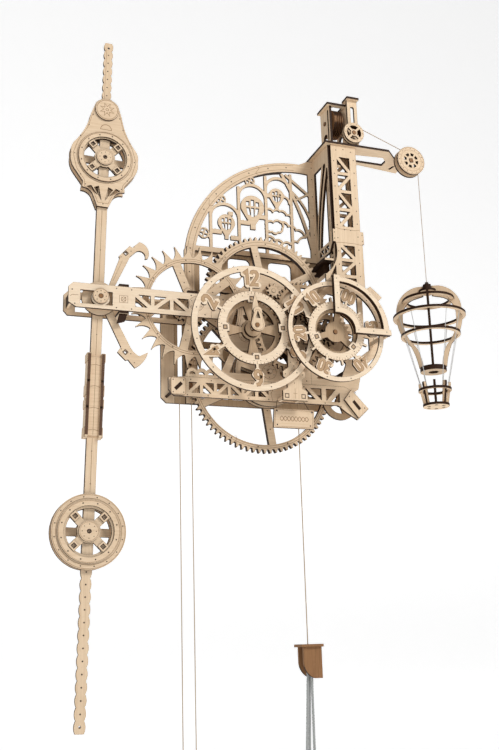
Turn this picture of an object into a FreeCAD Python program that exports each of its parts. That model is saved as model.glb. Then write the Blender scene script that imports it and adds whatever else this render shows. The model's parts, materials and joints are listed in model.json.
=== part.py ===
import FreeCAD, Part
import math
import os

V = FreeCAD.Vector

# ------------------------------------------------------------------ driving dimensions (mm)
PLY = 3.0                      # plywood sheet
HANG = (28.0, 224.5)           # hang hole, measured from the hour dial axis
HANG_R = 3.0
PIN_R = 2.5                    # dowel pins and arbors
RUN = 0.3                      # running clearance on a pin

Y_BACK = -6.0                  # front faces of the layers, counted towards the viewer
Y_ARCH = -9.0
Y_BEAM_BACK = -12.0
Y_GREAT = -18.0
Y_CENTER = -26.0
Y_ESCAPE = -33.0
Y_FRONT = -43.0
Y_MOTION = -50.0
Y_MINUTE_WHEEL = -54.0
Y_REDUCTION = -58.5
Y_HOUR_WHEEL = -62.5
Y_STRUT = -66.5
Y_HOUR = -71.5
Y_SPIDER = -75.5
Y_MINUTE = -79.5
Y_WINDOW = -90.0

HOUR = (0.5, 0.0)
MINUTE = (98.2, 1.6)
CENTER = (34.0, 54.6)
GREAT_MODULE = 2.2
GREAT_TEETH = 80
GREAT_PINION = 8
CENTER_TEETH = 68
ESCAPE_PINION = 18
MOTION_MODULE = 1.7
MINUTE_MODULE = 2.0
HOUR_MODULE = 2.0

HOUR_R = (33.0, 42.9, 66.3, 73.4)
MINUTE_R = (26.4, 35.3, 54.6, 60.0)
ESCAPE_R = (53.0, 60.0, 74.0)
ESCAPE_TEETH = 30

PIVOT = (-167.7, 30.6)         # pendulum axis
TILT = 1.7                     # stored lean of the pendulum, clockwise
ROD_W = 11.8
ROD_Y = (-30.0, -24.0)
LOWER_BOB = -255.2             # along the rod from the pivot
UPPER_BOB = 173.0

ARCH = (89.0, 94.0)
ARCH_R = (138.0, 150.5)
TOWER_X = (113.0, 147.0)
TOWER_TOP = 251.0
CRANE_WHEEL = (225.8, 246.0)
GUIDE_WHEEL = (144.0, 269.0)
REEL = (131.0, -35.0, 292.0)
BALLOON_X = 237.3
BALLOON_Y = -53.0
BALLOON_YAW = 58.7
BALLOON_HOOPS = ((59.0, 31.5), (38.0, 44.0), (14.0, 36.0))
DRUM_R = 37.3
DRUM_FLANGE_R = 39.6
REEL_CAP_Z = 311.0
LOOP = (-67.0, -62.0)          # winding loop pulley
WINDING = (121.5, -69.0)       # winding disc below the base


# ------------------------------------------------------------------ outlines in a plane
class Round:
    """A circle."""

    def __init__(self, u, v, r):
        self.u, self.v, self.r = u, v, r

    def wire(self, place):
        a, b, c = [place(*p) for p in ((self.u + self.r, self.v), (self.u, self.v + self.r),
                                       (self.u - self.r, self.v))]
        return Part.Wire([Part.Circle(a, b, c).toShape()])


class Outline:
    """A closed outline; a move is a point, or a pair (mid point, end point) for an arc."""

    def __init__(self, start, *moves):
        self.start, self.moves = start, moves

    def wire(self, place):
        edges = []
        here = self.start
        for move in self.moves + (self.start,):
            if isinstance(move[0], tuple):
                mid, end = move
                edges.append(Part.Arc(place(*here), place(*mid), place(*end)).toShape())
                here = end
            else:
                if math.hypot(here[0] - move[0], here[1] - move[1]) > 1e-6:
                    edges.append(Part.LineSegment(place(*here), place(*move)).toShape())
                here = move
        return Part.Wire(edges)


def rect(u0, v0, u1, v1):
    return Outline((u0, v0), (u1, v0), (u1, v1), (u0, v1))


def round_rect(u0, v0, u1, v1, r):
    k = r * (1 - math.sqrt(0.5))
    return Outline((u0 + r, v0), (u1 - r, v0), ((u1 - k, v0 + k), (u1, v0 + r)), (u1, v1 - r),
                   ((u1 - k, v1 - k), (u1 - r, v1)), (u0 + r, v1), ((u0 + k, v1 - k), (u0, v1 - r)),
                   (u0, v0 + r), ((u0 + k, v0 + k), (u0 + r, v0)))


def polar(c, r, deg):
    a = math.radians(deg)
    return (c[0] + r * math.cos(a), c[1] + r * math.sin(a))


def turned(points, c, deg):
    a = math.radians(deg)
    return [(c[0] + x * math.cos(a) - y * math.sin(a), c[1] + x * math.sin(a) + y * math.cos(a))
            for x, y in points]


def box_at(c, w, h, deg=0.0):
    return Outline(*turned([(-w / 2, -h / 2), (w / 2, -h / 2), (w / 2, h / 2), (-w / 2, h / 2)], c, deg))


def sector(c, r0, r1, a0, a1):
    """A ring sector between two radii and two angles."""
    m = (a0 + a1) / 2
    return Outline(polar(c, r0, a0), polar(c, r1, a0), (polar(c, r1, m), polar(c, r1, a1)),
                   polar(c, r0, a1), (polar(c, r0, m), polar(c, r0, a0)))


def truss(u0, u1, v0, v1, bays, bar, flip=0):
    """Triangular windows of a truss that runs along u."""
    holes = []
    step = (u1 - u0 + bar) / bays
    for i in range(bays):
        a = u0 + i * step
        b = a + step - bar
        length = math.hypot(b - a, v1 - v0)
        du = bar / 2 * length / (v1 - v0)
        dv = bar / 2 * length / (b - a)
        if (i + flip) % 2:
            holes.append(Outline((a, v0 + dv), (a, v1), (b - du, v1)))
            holes.append(Outline((a + du, v0), (b, v0), (b, v1 - dv)))
        else:
            holes.append(Outline((a, v0), (b - du, v0), (a, v1 - dv)))
            holes.append(Outline((a + du, v1), (b, v1), (b, v0 + dv)))
    return holes


def swap(holes):
    """The same straight outlines with u and v exchanged."""
    return [Outline(*[(q, p) for p, q in (h.start,) + h.moves]) for h in holes]


PLACES = {
    "xz": (lambda u, v: V(u, 0, v), V(0, 1, 0)),
    "yz": (lambda u, v: V(0, u, v), V(1, 0, 0)),
    "xy": (lambda u, v: V(u, v, 0), V(0, 0, 1)),
}


def plate(outer, holes, at, t=PLY, plane="xz"):
    """A flat board that starts at `at` along the plane's normal and is t thick."""
    place, normal = PLACES[plane]
    wires = [outer.wire(place)] + [h.wire(place) for h in holes]
    face = Part.makeFace(wires, "Part::FaceMakerBullseye")
    face.translate(normal * at)
    return face.extrude(normal * t).Solids[0]


def fused(shapes):
    """One solid out of flat pieces that overlap."""
    whole = shapes[0].multiFuse(shapes[1:]).removeSplitter()
    return whole.Solids[0] if len(whole.Solids) == 1 else whole


def pin(c, y0, y1, r=PIN_R):
    return Part.makeCylinder(r, y1 - y0, V(c[0], y0, c[1]), V(0, 1, 0))


def tube(c, y0, y1, r0, r1):
    return plate(Round(c[0], c[1], r1), [Round(c[0], c[1], r0)], y0, y1 - y0)


def bar_xz(p, q, w, y, t=PLY):
    """A straight bar with round ends between two points."""
    length = math.hypot(q[0] - p[0], q[1] - p[1])
    ux, uz = (q[0] - p[0]) / length * w / 2, (q[1] - p[1]) / length * w / 2
    a, b = (p[0] - uz, p[1] + ux), (p[0] + uz, p[1] - ux)
    c, d = (q[0] + uz, q[1] - ux), (q[0] - uz, q[1] + ux)
    out = Outline(a, ((p[0] - ux, p[1] - uz), b), c, ((q[0] + ux, q[1] + uz), d))
    return plate(out, [], y, t)


# ------------------------------------------------------------------ gears
def gear_outline(c, module, teeth, phase=0.0, add=0.75, ded=1.15, share=0.41):
    """Involute teeth drawn with three points a flank; share is the tooth's part of a pitch."""
    pitch = module * teeth / 2
    base = pitch * math.cos(math.radians(20))
    root = pitch - ded * module
    tip = pitch + add * module
    inv = math.tan(math.radians(20)) - math.radians(20)
    low = max(base, root)
    radii = [root] + [low + (tip - low) * f for f in ((0.0, 0.5, 1.0) if base > root else (0.45, 1.0))]
    points = []
    for i in range(teeth):
        mid = math.radians(phase) + 2 * math.pi * i / teeth
        half = []
        for r in radii:
            a = math.acos(min(1.0, base / max(r, base)))
            half.append(share * math.pi / teeth + inv - (math.tan(a) - a))
        points += [(c[0] + r * math.cos(mid - h), c[1] + r * math.sin(mid - h))
                   for r, h in zip(radii, half)]
        points += [(c[0] + r * math.cos(mid + h), c[1] + r * math.sin(mid + h))
                   for r, h in zip(reversed(radii), reversed(half))]
    return Outline(*points)


def direction(a, b):
    return math.degrees(math.atan2(b[1] - a[1], b[0] - a[0]))


def meshed(c, d, teeth_c, phase_c, teeth_d):
    """Phase of the gear at d that puts a gap where gear c has a tooth, or a tooth in its gap."""
    at = direction(c, d)
    offset = ((at - phase_c) * teeth_c / 360.0) % 1.0
    return at + 180.0 - (0.5 - offset) * 360.0 / teeth_d


def spoked(c, r0, r1, spokes, half, phase, corner=3.0):
    """Windows between the spokes of a wheel, each one narrowed by half a spoke at both sides."""
    holes = []
    for i in range(spokes):
        a0 = phase + 360.0 * i / spokes
        a1 = phase + 360.0 * (i + 1) / spokes
        o = math.degrees(math.asin(half / r1))
        n = math.degrees(math.asin(half / r0))
        m = (a0 + a1) / 2
        holes.append(Outline(polar(c, r0, a0 + n), polar(c, r1, a0 + o),
                             (polar(c, r1, m), polar(c, r1, a1 - o)), polar(c, r0, a1 - n),
                             (polar(c, r0, m), polar(c, r0, a0 + n))))
    return holes


def third_point(a, b, da, db, side):
    """The point at distance da from a and db from b, on one side of the line a-b."""
    d = math.hypot(b[0] - a[0], b[1] - a[1])
    u = ((b[0] - a[0]) / d, (b[1] - a[1]) / d)
    x = (da * da - db * db + d * d) / (2 * d)
    h = side * math.sqrt(max(0.0, da * da - x * x))
    return (a[0] + u[0] * x - u[1] * h, a[1] + u[1] * x + u[0] * h)


GREAT = (28.0, CENTER[1] - math.sqrt(((GREAT_TEETH + GREAT_PINION) * GREAT_MODULE / 2) ** 2 - 36.0))
_GAP = (CENTER_TEETH + ESCAPE_PINION) * GREAT_MODULE / 2
ESCAPE = (CENTER[0] - math.sqrt(_GAP ** 2 - 22.3 ** 2), CENTER[1] - 22.3)
MOTION = third_point(CENTER, MINUTE, 25 * MOTION_MODULE, 21 * MINUTE_MODULE, 1)
REDUCTION = third_point(HOUR, MINUTE, 24 * HOUR_MODULE, 25 * HOUR_MODULE, -1)

NODES = {}


def node(name, *shapes):
    NODES[name] = shapes[0] if len(shapes) == 1 else Part.makeCompound(list(shapes))


# ------------------------------------------------------------------ wall side of the frame
def wall_side():
    """Everything between the wall and the first wheel."""
    hole = Round(HANG[0], HANG[1], HANG_R)
    band = sector(ARCH, ARCH_R[0] + 1.0, ARCH_R[1] - 1.0, 98.0, 133.0)
    node("wall_hanger_plate", plate(band, [hole], Y_BACK, 2 * PLY))
    pads = [rect(-88, -70, -76, -50), rect(-88, 5, -76, 25), rect(20, -74, 36, -58), rect(90, -74,
                                                                                          106, -58),
            rect(90, 96, 106, 112)]
    node("wall_spacers", *[plate(p, [], -PLY) for p in pads])
    left = Outline((-90, -70), (-84, -76), (-74, -76), (-74, 42), (-80, 48), (-90, 48))
    node("left_board", plate(left, [], Y_BACK))
    slots = truss(-50, 104, -68, -56, 7, 4)
    windows = [round_rect(-46, -46, -16, -8, 4), round_rect(-46, 0, -16, 40, 4),
               round_rect(-6, -22, 18, 22, 4), round_rect(44, -22, 74, 30, 4),
               round_rect(82, -46, 104, -4, 4), round_rect(82, 6, 104, 50, 4),
               round_rect(-6, 68, 22, 108, 6), round_rect(46, 72, 76, 108, 6), round_rect(82, 60,
                                                                                          104, 90, 4),
               round_rect(-42, 52, -16, 108, 6)]
    holes = [Round(CENTER[0], CENTER[1], PIN_R + RUN), Round(GREAT[0], GREAT[1], PIN_R + RUN)]
    outer = Outline((-74, -76), (112, -76), (112, -44), (130, -44), (130, -30), (112, -30), (112,
                                                                                             116),
                                                                                             (-49, 116),
                    (-49, 48), (-74, 48))
    ladder = [round_rect(-70, -46, -64, 40, 2)]
    escape = Round(ESCAPE[0], ESCAPE[1], PIN_R + RUN)
    node("back_plate", plate(outer, slots + windows + holes + ladder + [escape], Y_BACK))
    leg = rect(ARCH[0] - ARCH_R[1], -76, ARCH[0] - ARCH_R[0], ARCH[1])
    node("arch_leg", plate(leg, [Round(ESCAPE[0], ESCAPE[1], PIN_R + RUN)], Y_ARCH))
    beam = Outline((-203, 21.6), (-198.5, 16.5), (-44, 16.5), (-44, 44.5), (-198.5, 44.5), (-203, 40))
    holes = [rect(-190, 21, -174, 36.5), rect(-160, 21, -150, 36.5)] + truss(-128.7, -67.3, 22.5,
                                                                             38.5, 3, 5)
    holes += [Round(PIVOT[0], PIVOT[1], PIN_R), Round(ESCAPE[0], ESCAPE[1], PIN_R + RUN)]
    node("back_beam", plate(beam, holes, Y_BEAM_BACK))


# ------------------------------------------------------------------ arch with its colonnade
def silhouette_balloon(cx, cz, r, y):
    """A cut-out balloon: envelope with gore slots and a small basket."""
    neck = cz - 1.55 * r
    drop = Outline((cx - 0.94 * r, cz - 0.35 * r), ((cx, cz + r), (cx + 0.94 * r, cz - 0.35 * r)),
                   (cx + 0.22 * r, neck), (cx + 0.22 * r, neck - 0.4 * r), (cx - 0.22 * r,
                                                                            neck - 0.4 * r),
                   (cx - 0.22 * r, neck))
    w = 0.2 * r
    holes = []
    for k in (-1.35, 0.0, 1.35):
        x = cx + k * w * 1.6
        top = cz + 0.62 * r - abs(k) * 0.12 * r
        for z0, z1 in ((top, cz + 0.08 * r), (cz - 0.08 * r, cz - 0.85 * r + abs(k) * 0.1 * r)):
            s = 1.0 if z0 > cz else 0.55
            holes.append(Outline((x - w * 0.7 - k * 0.02 * r, z0), (x + w * 0.7 - k * 0.02 * r, z0),
                                 (x + w * 0.7 - k * (1 - s) * 0.25 * r, z1),
                                 (x - w * 0.7 - k * (1 - s) * 0.25 * r, z1)))
    return plate(drop, holes, y)


def cloud(cx, cz, w, y):
    """A thin cloud drawn as a wavy strip."""
    n = 4
    step = w / n
    top = []
    for i in range(n):
        x = cx - w / 2 + i * step
        h = 0.42 * step * (1.0 if i % 2 else 0.8)
        top.append(((x + step / 2, cz + h + 1.6), (x + step, cz)))
    return plate(Outline((cx - w / 2, cz), *top, (cx + w / 2, cz - 3.2), (cx - w / 2, cz - 3.2)), [], y)


def bow(p, mid, q, w, y):
    """A curved bar from p to q through mid."""
    d = math.hypot(q[0] - p[0], q[1] - p[1])
    n = ((q[1] - p[1]) / d * w / 2, (p[0] - q[0]) / d * w / 2)
    shape = Outline((p[0] + n[0], p[1] + n[1]), ((mid[0] + n[0], mid[1] + n[1]), (q[0] + n[0],
                                                                                  q[1] + n[1])),
                    (q[0] - n[0], q[1] - n[1]), ((mid[0] - n[0], mid[1] - n[1]), (p[0] - n[0],
                                                                                  p[1] - n[1])))
    return plate(shape, [], y)


def billow(p, q, bulge, w, y):
    """One rounded puff of a cloud's outline."""
    d = math.hypot(q[0] - p[0], q[1] - p[1])
    mid = ((p[0] + q[0]) / 2 - (q[1] - p[1]) / d * bulge, (p[1] + q[1]) / 2 + (q[0] - p[0]) / d * bulge)
    return fused([bow(p, mid, q, w, y), plate(Round(p[0], p[1], w / 2), [], y), plate(Round(q[0],
                                                                                            q[1],
                                                                                            w / 2),
                                                                                            [], y)])


def arch_frame():
    """The quarter arch, its posts, inner arches and cut-out balloons: one sheet."""
    y = Y_ARCH
    outer = Outline(polar(ARCH, ARCH_R[0], 180), polar(ARCH, ARCH_R[1], 180),
                    (polar(ARCH, ARCH_R[1], 132), polar(ARCH, ARCH_R[1], 89.0)), (103, 250), (114, 250),
                    (114, 232), (108.4, 231.5), (polar(ARCH, ARCH_R[0], 131), polar(ARCH, ARCH_R[0],
                                                                                    180)))
    bits = [plate(outer, [], y)]
    bits.append(plate(rect(-52, 112, 114, 118.5), [], y))
    bits.append(plate(rect(103, 112, 114, 236), [], y))
    bits.append(plate(rect(-61.5, 94, -49, 112), [], y))
    columns = [(-27.5, 172.0), (9.0, 203.0), (45.0, 222.0), (79.0, 229.0)]
    for x, top in columns:
        bits.append(plate(rect(x - 1.9, 116, x + 1.9, top), [], y))
    for (x0, _), (x1, _), top in zip(columns, columns[1:], (177.0, 207.0, 221.0)):
        mid = (x0 + x1) / 2
        r = (x1 - x0) / 2
        spring = top - r
        bits.append(plate(Outline((x0 - 1.9, spring), ((mid, top + 1.9), (x1 + 1.9, spring)),
                                  (x1 - 1.9, spring), ((mid, top - 1.9), (x0 + 1.9, spring))), [], y))
    bits.append(bow((67, 228), (86, 190), (107, 119), 4.0, y))
    bits.append(bow((80, 206), (95, 189), (105, 168), 3.0, y))
    bits += [bar_xz(p, q, w, y) for p, q, w in (((73, 227), (105, 202), 3.4), ((86, 195), (105, 206),
                                                                               2.6),
                                                ((97, 147), (105, 160), 2.6))]
    for x, z, r in ((-36.5, 136, 7.0), (-14, 182.5, 6.6), (24.5, 212.5, 6.6)):
        bits.append(tube((x, z), y, y + PLY, r - 1.8, r))
        bits.append(bar_xz((x - 2, z - r + 1), (x + 2, z + r - 1), 2.0, y))
        bits.append(bar_xz((x - r + 1, z + 2), (x + r - 1, z - 2), 1.8, y))
    bits.append(bar_xz((-47, 132), (-43, 134), 3.0, y))
    bits.append(bar_xz((-30, 132), (-28, 130), 3.0, y))
    bits.append(bar_xz((-20, 187), (-24, 192), 3.0, y))
    bits.append(bar_xz((18, 216), (13, 219), 3.0, y))
    bits.append(silhouette_balloon(-7.5, 152.5, 11.0, y))
    bits.append(silhouette_balloon(27.0, 177.5, 15.3, y))
    bits.append(silhouette_balloon(59.5, 197.0, 10.0, y))
    for cx, cz, w in ((-20.5, 140, 14), (3.5, 134, 12), (-2.0, 165.5, 6), (16, 156, 14), (39, 166, 13),
                      (48, 196.5, 8)):
        bits.append(cloud(cx, cz, w, y))
    for crest, bulge in (([(62, 200), (70, 197), (76.5, 189), (79, 178)], 2.0),
                         ([(45, 177), (54, 175), (63, 177), (72, 173), (80, 168)], 2.2),
                         ([(44, 158), (54, 161), (64, 162), (74, 158), (84, 154), (95, 149)], 2.4),
                         ([(44, 152), (52, 148), (60, 148), (66, 154), (64, 163)], -2.0),
                         ([(45, 141), (55, 137), (66, 134), (76, 134), (86, 138), (97, 146)], 2.2)):
        bits += [billow(p, q, bulge, 2.8, y) for p, q in zip(crest, crest[1:])]
    node("arch_frame", fused(bits))


# ------------------------------------------------------------------ front of the frame
def front_side():
    """Front beam, centre plate, base beam and the foot of the tower."""
    beam = Outline((-203, 21.6), (-194.5, 16.5), (-30, 16.5), (-30, 44.5), (-198, 44.5), (-203, 39.5))
    holes = [Outline((-190, 21), (-173, 21), ((-178, 28.7), (-173, 36.5)), (-190, 36.5)),
             Outline((-162.4, 21), (-154.4, 21), (-154.4, 36.5), (-162.4, 36.5), ((-157.4, 28.7),
                                                                                  (-162.4, 21)))]
    holes += truss(-128.7, -67.3, 22.3, 36.5, 3, 4.6, 0)
    holes += [Round(PIVOT[0], PIVOT[1], PIN_R), Round(ESCAPE[0], ESCAPE[1], PIN_R + RUN)]
    node("front_beam", plate(beam, holes, Y_FRONT))

    pins = [Round(c[0], c[1], PIN_R) for c in (HOUR, REDUCTION, MOTION)]
    turning = [Round(c[0], c[1], PIN_R + RUN) for c in (CENTER, GREAT)]
    center = Outline((-30, 16.5), (-24, 10), (-18, -20), (-34, -54), (80, -54), (80, 52), (66, 62),
                     (52, 76),
                     (16, 76), (-10, 50), (-30, 44.5))
    windows = [Outline((-12, 8), (-8, -8), (12, -8), (22, 8), (14, 34), (-8, 34)),
               Outline((-20, -46), (-10, -20), (10, -18), (16, -46))]
    windows[0] = Outline((-16, 12), (-9, 7), (-2, 8), (10, 16), (22, 34), (16, 44), (-6, 40))
    windows.append(Outline((42, -46), (66, -46), (66, -18), (50, -14), (38, -28)))
    windows.append(Outline((36, 8), (52, 30), (46, 40), (30, 38), (24, 22)))
    node("front_plate", plate(center, windows + pins + turning, Y_FRONT))

    base = Outline((-91.4, -70), (-85, -76.5), (113, -77), (122, -84), (137, -93), (152, -79), (134, -60),
                   (122, -54), (-74, -54), (-91.4, -56))
    holes = truss(-68, 26, -72, -60, 6, 4, 1)
    holes += [Outline((72, -58), (72, -71), (84, -71)), Outline((78, -58), (92, -58), (92, -72)),
              Outline((98, -58), (110, -58), (98, -72)), Outline((115, -62), (115, -73), (104, -73))]
    holes += [box_at((-81, -66), 10, 3.2, 45), box_at((135, -76), 12, 3.2, -50)]
    node("base_beam", plate(base, holes, Y_FRONT))
    arcade = fused([plate(rect(-72, -54, -34, -50.5), [], Y_FRONT)] + [
        plate(Outline((x - 6.6, -52), ((x, -43.4), (x + 6.6, -52)), (x + 3.4, -52), ((x, -47.6),
                                                                                     (x - 3.4, -52))),
              [], Y_FRONT) for x in (-64, -53, -42)])
    node("base_arcade", arcade)
    corner = round_rect(-90, -76, -72, -56, 4)
    node("corner_plate", plate(corner, [box_at((-81, -66), 10, 3.2, 45)], Y_FRONT - PLY))

    foot = Outline((80, -54), (122, -54), (134, -60), (140, -56), (146, -30), (170, -10), (170, 14),
                   (152, 20),
                   (152, 70), (104, 70), (90, 62), (80, 52))
    windows = [Outline((88, -46), (118, -46), (126, -26), (118, -14), (92, -14)),
               Outline((90, 18), (112, 18), (120, 34), (120, 58), (106, 60), (90, 46)),
               Outline((126, 24), (145, 24), (145, 62), (126, 62)),
               Outline((130, -20), (142, -18), (158, -6), (158, 8), (130, 12))]
    node("foot_plate", plate(foot, windows + [Round(MINUTE[0], MINUTE[1], PIN_R)], Y_FRONT))

    gusset = Outline((154, 67.4), (168.9, 54.6), (161.6, 47.4), (146.3, 62.1))
    node("window_gusset", plate(gusset, [box_at((157.2, 57.6), 11.4, 3.2, -42)], -62, PLY),
         plate(box_at((157.2, 57.6), 11.4, 3.2, -42), [], -62, 15))
    low = Outline((129, -58), (150, -79), (137, -91.4), (119.7, -70))
    node("base_gusset", plate(low, [box_at((135, -76), 12, 3.2, -50)], Y_FRONT - PLY))


def spacers():
    """Boards that hold the front of the frame off the back."""
    gap = Y_BEAM_BACK
    node("beam_spacers",
         plate(rect(-147, 44.5, -136, 47.5), [], Y_FRONT, gap + PLY - Y_FRONT),
         plate(rect(-147, 13.5, -136, 16.5), [], Y_FRONT, gap + PLY - Y_FRONT),
         plate(rect(-200, 24, -197, 37), [], Y_FRONT + PLY, gap - Y_FRONT - PLY),
         plate(Outline((-146, 13.5), (-137, 13.5), (-140, 5), (-149, 2)), [], Y_FRONT + 2, PLY))
    node("frame_spacers",
         plate(box_at((-81, -66), 10, 3.2, 45), [], Y_FRONT - PLY, Y_BACK - Y_FRONT + PLY),
         plate(rect(-68, 44.5, -56, 47.5), [], Y_FRONT, 4),
         plate(rect(122.8, -41, 128, -34), [], Y_FRONT + PLY, Y_BACK - Y_FRONT - PLY),
         plate(rect(104, 86, 111, 98), [], Y_FRONT, Y_BACK - Y_FRONT))
    node("tower_strut", plate(box_at((135, -76), 12, 3.2, -50), [], Y_FRONT - PLY, 12))


# ------------------------------------------------------------------ tower and crane
def tower():
    x0, x1 = TOWER_X
    front_y, back_y = -59.0, Y_FRONT
    splice = 130.0
    face = Outline((x0, 54), (x1, 54), (x1 + 2, 60), (x1 + 2, splice - 8), (x1 + 4, splice - 8),
                   (x1 + 4, splice + 8), (x1, splice + 8), (x1, TOWER_TOP), (x0, TOWER_TOP), (x0,
                                                                                              splice + 8),
                   (x0 - 3, splice + 8), (x0 - 3, splice - 8), (x0, splice - 8),
                   ((x0 - 3.4, 92), (x0 - 15, 79)), (x0 - 15, 70), (x0, 66))
    holes = swap(truss(60, 118, x0 + 7, x1 - 9, 3, 4.2)) + swap(truss(143, 235, x0 + 7.7, x1 - 9.3,
                                                                      4, 4.2, 1))
    holes.append(Outline((x0 - 9, 76), (x0 - 1, 76), (x0 - 1, 92)))
    node("tower_front", plate(face, holes, front_y))
    back = Outline((x0, 74), (x0, 70), (x1, 70), (x1, TOWER_TOP), (x0, TOWER_TOP))
    holes = swap(truss(78, 124, x0 + 7, x1 - 7, 2, 4.2)) + swap(truss(143, 235, x0 + 7, x1 - 7, 4, 4.2))
    node("tower_back", plate(back, holes, back_y))
    y0, y1 = front_y + PLY, back_y
    for name, x in (("tower_side_left", x0), ("tower_side_right", x1 - PLY)):
        holes = swap(truss(84, 232, y0 + 3, y1 - 3, 6, 3.6))
        low = 74 if x == x0 else 70
        node(name, plate(rect(y0, low, y1, TOWER_TOP), holes, x, PLY, "yz"))
    # panel between the arch and the tower: a hairpin brace in an open frame
    panel = Outline((-56, TOWER_TOP), (-56, 122), (-48, 112), (Y_ARCH, 112), (Y_ARCH, TOWER_TOP))
    holes = [Outline((-13.5, 231), (-36.5, 231), ((-24.5, 190), (-13.5, 140))),
             Outline((-40.5, 226), ((-44, 231), (-47, 226)), ((-32, 185), (-19.5, 126)), (-16, 126),
                     ((-27.5, 188), (-40.5, 226))),
             Outline((-53.2, 222), (-50.2, 222), ((-35.5, 183), (-23, 126)), (-53.2, 126))]
    for yy in (-46, -31):
        holes.append(Outline((yy, 115), (yy + 8, 122.5), (yy, 122.5)))
        holes.append(Outline((yy + 3, 115), (yy + 11, 115), (yy + 11, 122.5)))
    node("side_panel", plate(panel, holes, x0 - PLY, PLY, "yz"))
    node("lower_brace", plate(rect(99, 98, 111, 101), [], Y_FRONT - 13, Y_BACK - Y_FRONT + 13))

    top = Outline((105, -1), (105, -62), (192.6, -62), (211.7, -43), (229, -40), (229, -11), (171,
                                                                                              -18),
                                                                                              (150, -3))
    holes = [Outline((156, -42), (193, -45), (201, -36), (201, -25), (161, -25)), box_at((216, -24),
                                                                                         10, 3, -78),
             round_rect(113, -30, 128, -12, 3)]
    node("crane_plate", plate(top, holes, TOWER_TOP, PLY, "xy"))
    hanger = Outline((217, 251), (217, 240), ((225.8, 236), (234.6, 240)), (229, 251))
    node("crane_hanger", plate(hanger, [Round(CRANE_WHEEL[0], CRANE_WHEEL[1], PIN_R)], -43, PLY))
    node("crane_wheel_pin", pin(CRANE_WHEEL, -59, -40))

    z = TOWER_TOP + PLY
    ry, rz = REEL[1], REEL[2]
    axle = Round(ry, rz, PIN_R)
    left = Outline((-47, z), (-49, z + 8), (-49, REEL_CAP_Z), (-22, REEL_CAP_Z), (-22, z))
    slots = [axle, Outline((-40, z + 8), (-29, z + 8), (-29, z + 18), ((-34.5, z + 23), (-40, z + 18))),
             round_rect(-45.5, z + 12, -42.5, REEL_CAP_Z - 4, 1.2)]
    node("reel_bracket_left", plate(left, slots, 119, PLY, "yz"))
    right = Outline((-54, z), (-54, REEL_CAP_Z), (-24, REEL_CAP_Z), (-24, z))
    node("reel_bracket_right", plate(right, slots[:2], 140, PLY, "yz"))
    top_z = REEL_CAP_Z + 7
    front = Outline((140, z), (140, top_z), (153.7, top_z), (153.7, z))
    node("reel_front_plate", plate(front, [round_rect(144.5, 285, 149.5, 309, 2),
                                           Round(GUIDE_WHEEL[0], GUIDE_WHEEL[1], PIN_R)], -57, PLY))
    node("reel_caps", plate(rect(115, -52, 144, -21), [round_rect(124, -46, 138, -27, 3)],
                            REEL_CAP_Z, PLY, "xy"),
         plate(rect(138.5, -61, 155.2, -46), [], top_z, PLY, "xy"))
    axle_bar = Part.makeCylinder(PIN_R, 28, V(117.5, ry, rz), V(1, 0, 0))
    node("reel_axle", axle_bar)
    node("guide_wheel_pin", pin(GUIDE_WHEEL, -65, -54))
    reel = Part.makeCylinder(18, 2.2, V(124, ry, rz), V(1, 0, 0))
    reel = reel.fuse(Part.makeCylinder(11, 12, V(124, ry, rz), V(1, 0, 0)))
    for k in range(1, 5):
        reel = reel.fuse(Part.makeCylinder(18, 1.4, V(124 + 2.55 * k, ry, rz), V(1, 0, 0)))
    reel = reel.cut(Part.makeCylinder(PIN_R + RUN, 20, V(120, ry, rz), V(1, 0, 0)))
    node("thread_reel", reel.removeSplitter())
    gw = [plate(Round(GUIDE_WHEEL[0], GUIDE_WHEEL[1], 13.6),
                spoked(GUIDE_WHEEL, 4.6, 9.6, 4, 1.4, 45) + [Round(*GUIDE_WHEEL, PIN_R + RUN)], y, 1.6)
          for y in (-64.5, -59.3)]
    core = tube(GUIDE_WHEEL, -63.0, -59.2, 9.6, 11.2)
    node("guide_wheel", fused(gw + [core]))
    cw = [plate(Round(CRANE_WHEEL[0], CRANE_WHEEL[1], 19.2),
                spoked(CRANE_WHEEL, 6.5, 10.0, 8, 1.3, 10) + [Round(*CRANE_WHEEL, PIN_R + RUN)], y, 2.4)
          for y in (-58.4, -50.0)]
    core = tube(CRANE_WHEEL, -56.1, -49.9, 10.0, 10.9)
    node("crane_wheel", fused(cw + [core]))


# ------------------------------------------------------------------ wheels of the train
def rim_wheel(c, outline, y, t, r_in, hub, spokes, half, phase):
    holes = spoked(c, hub, r_in, spokes, half, phase) + [Round(c[0], c[1], PIN_R)]
    return plate(outline, holes, y, t)


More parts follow.
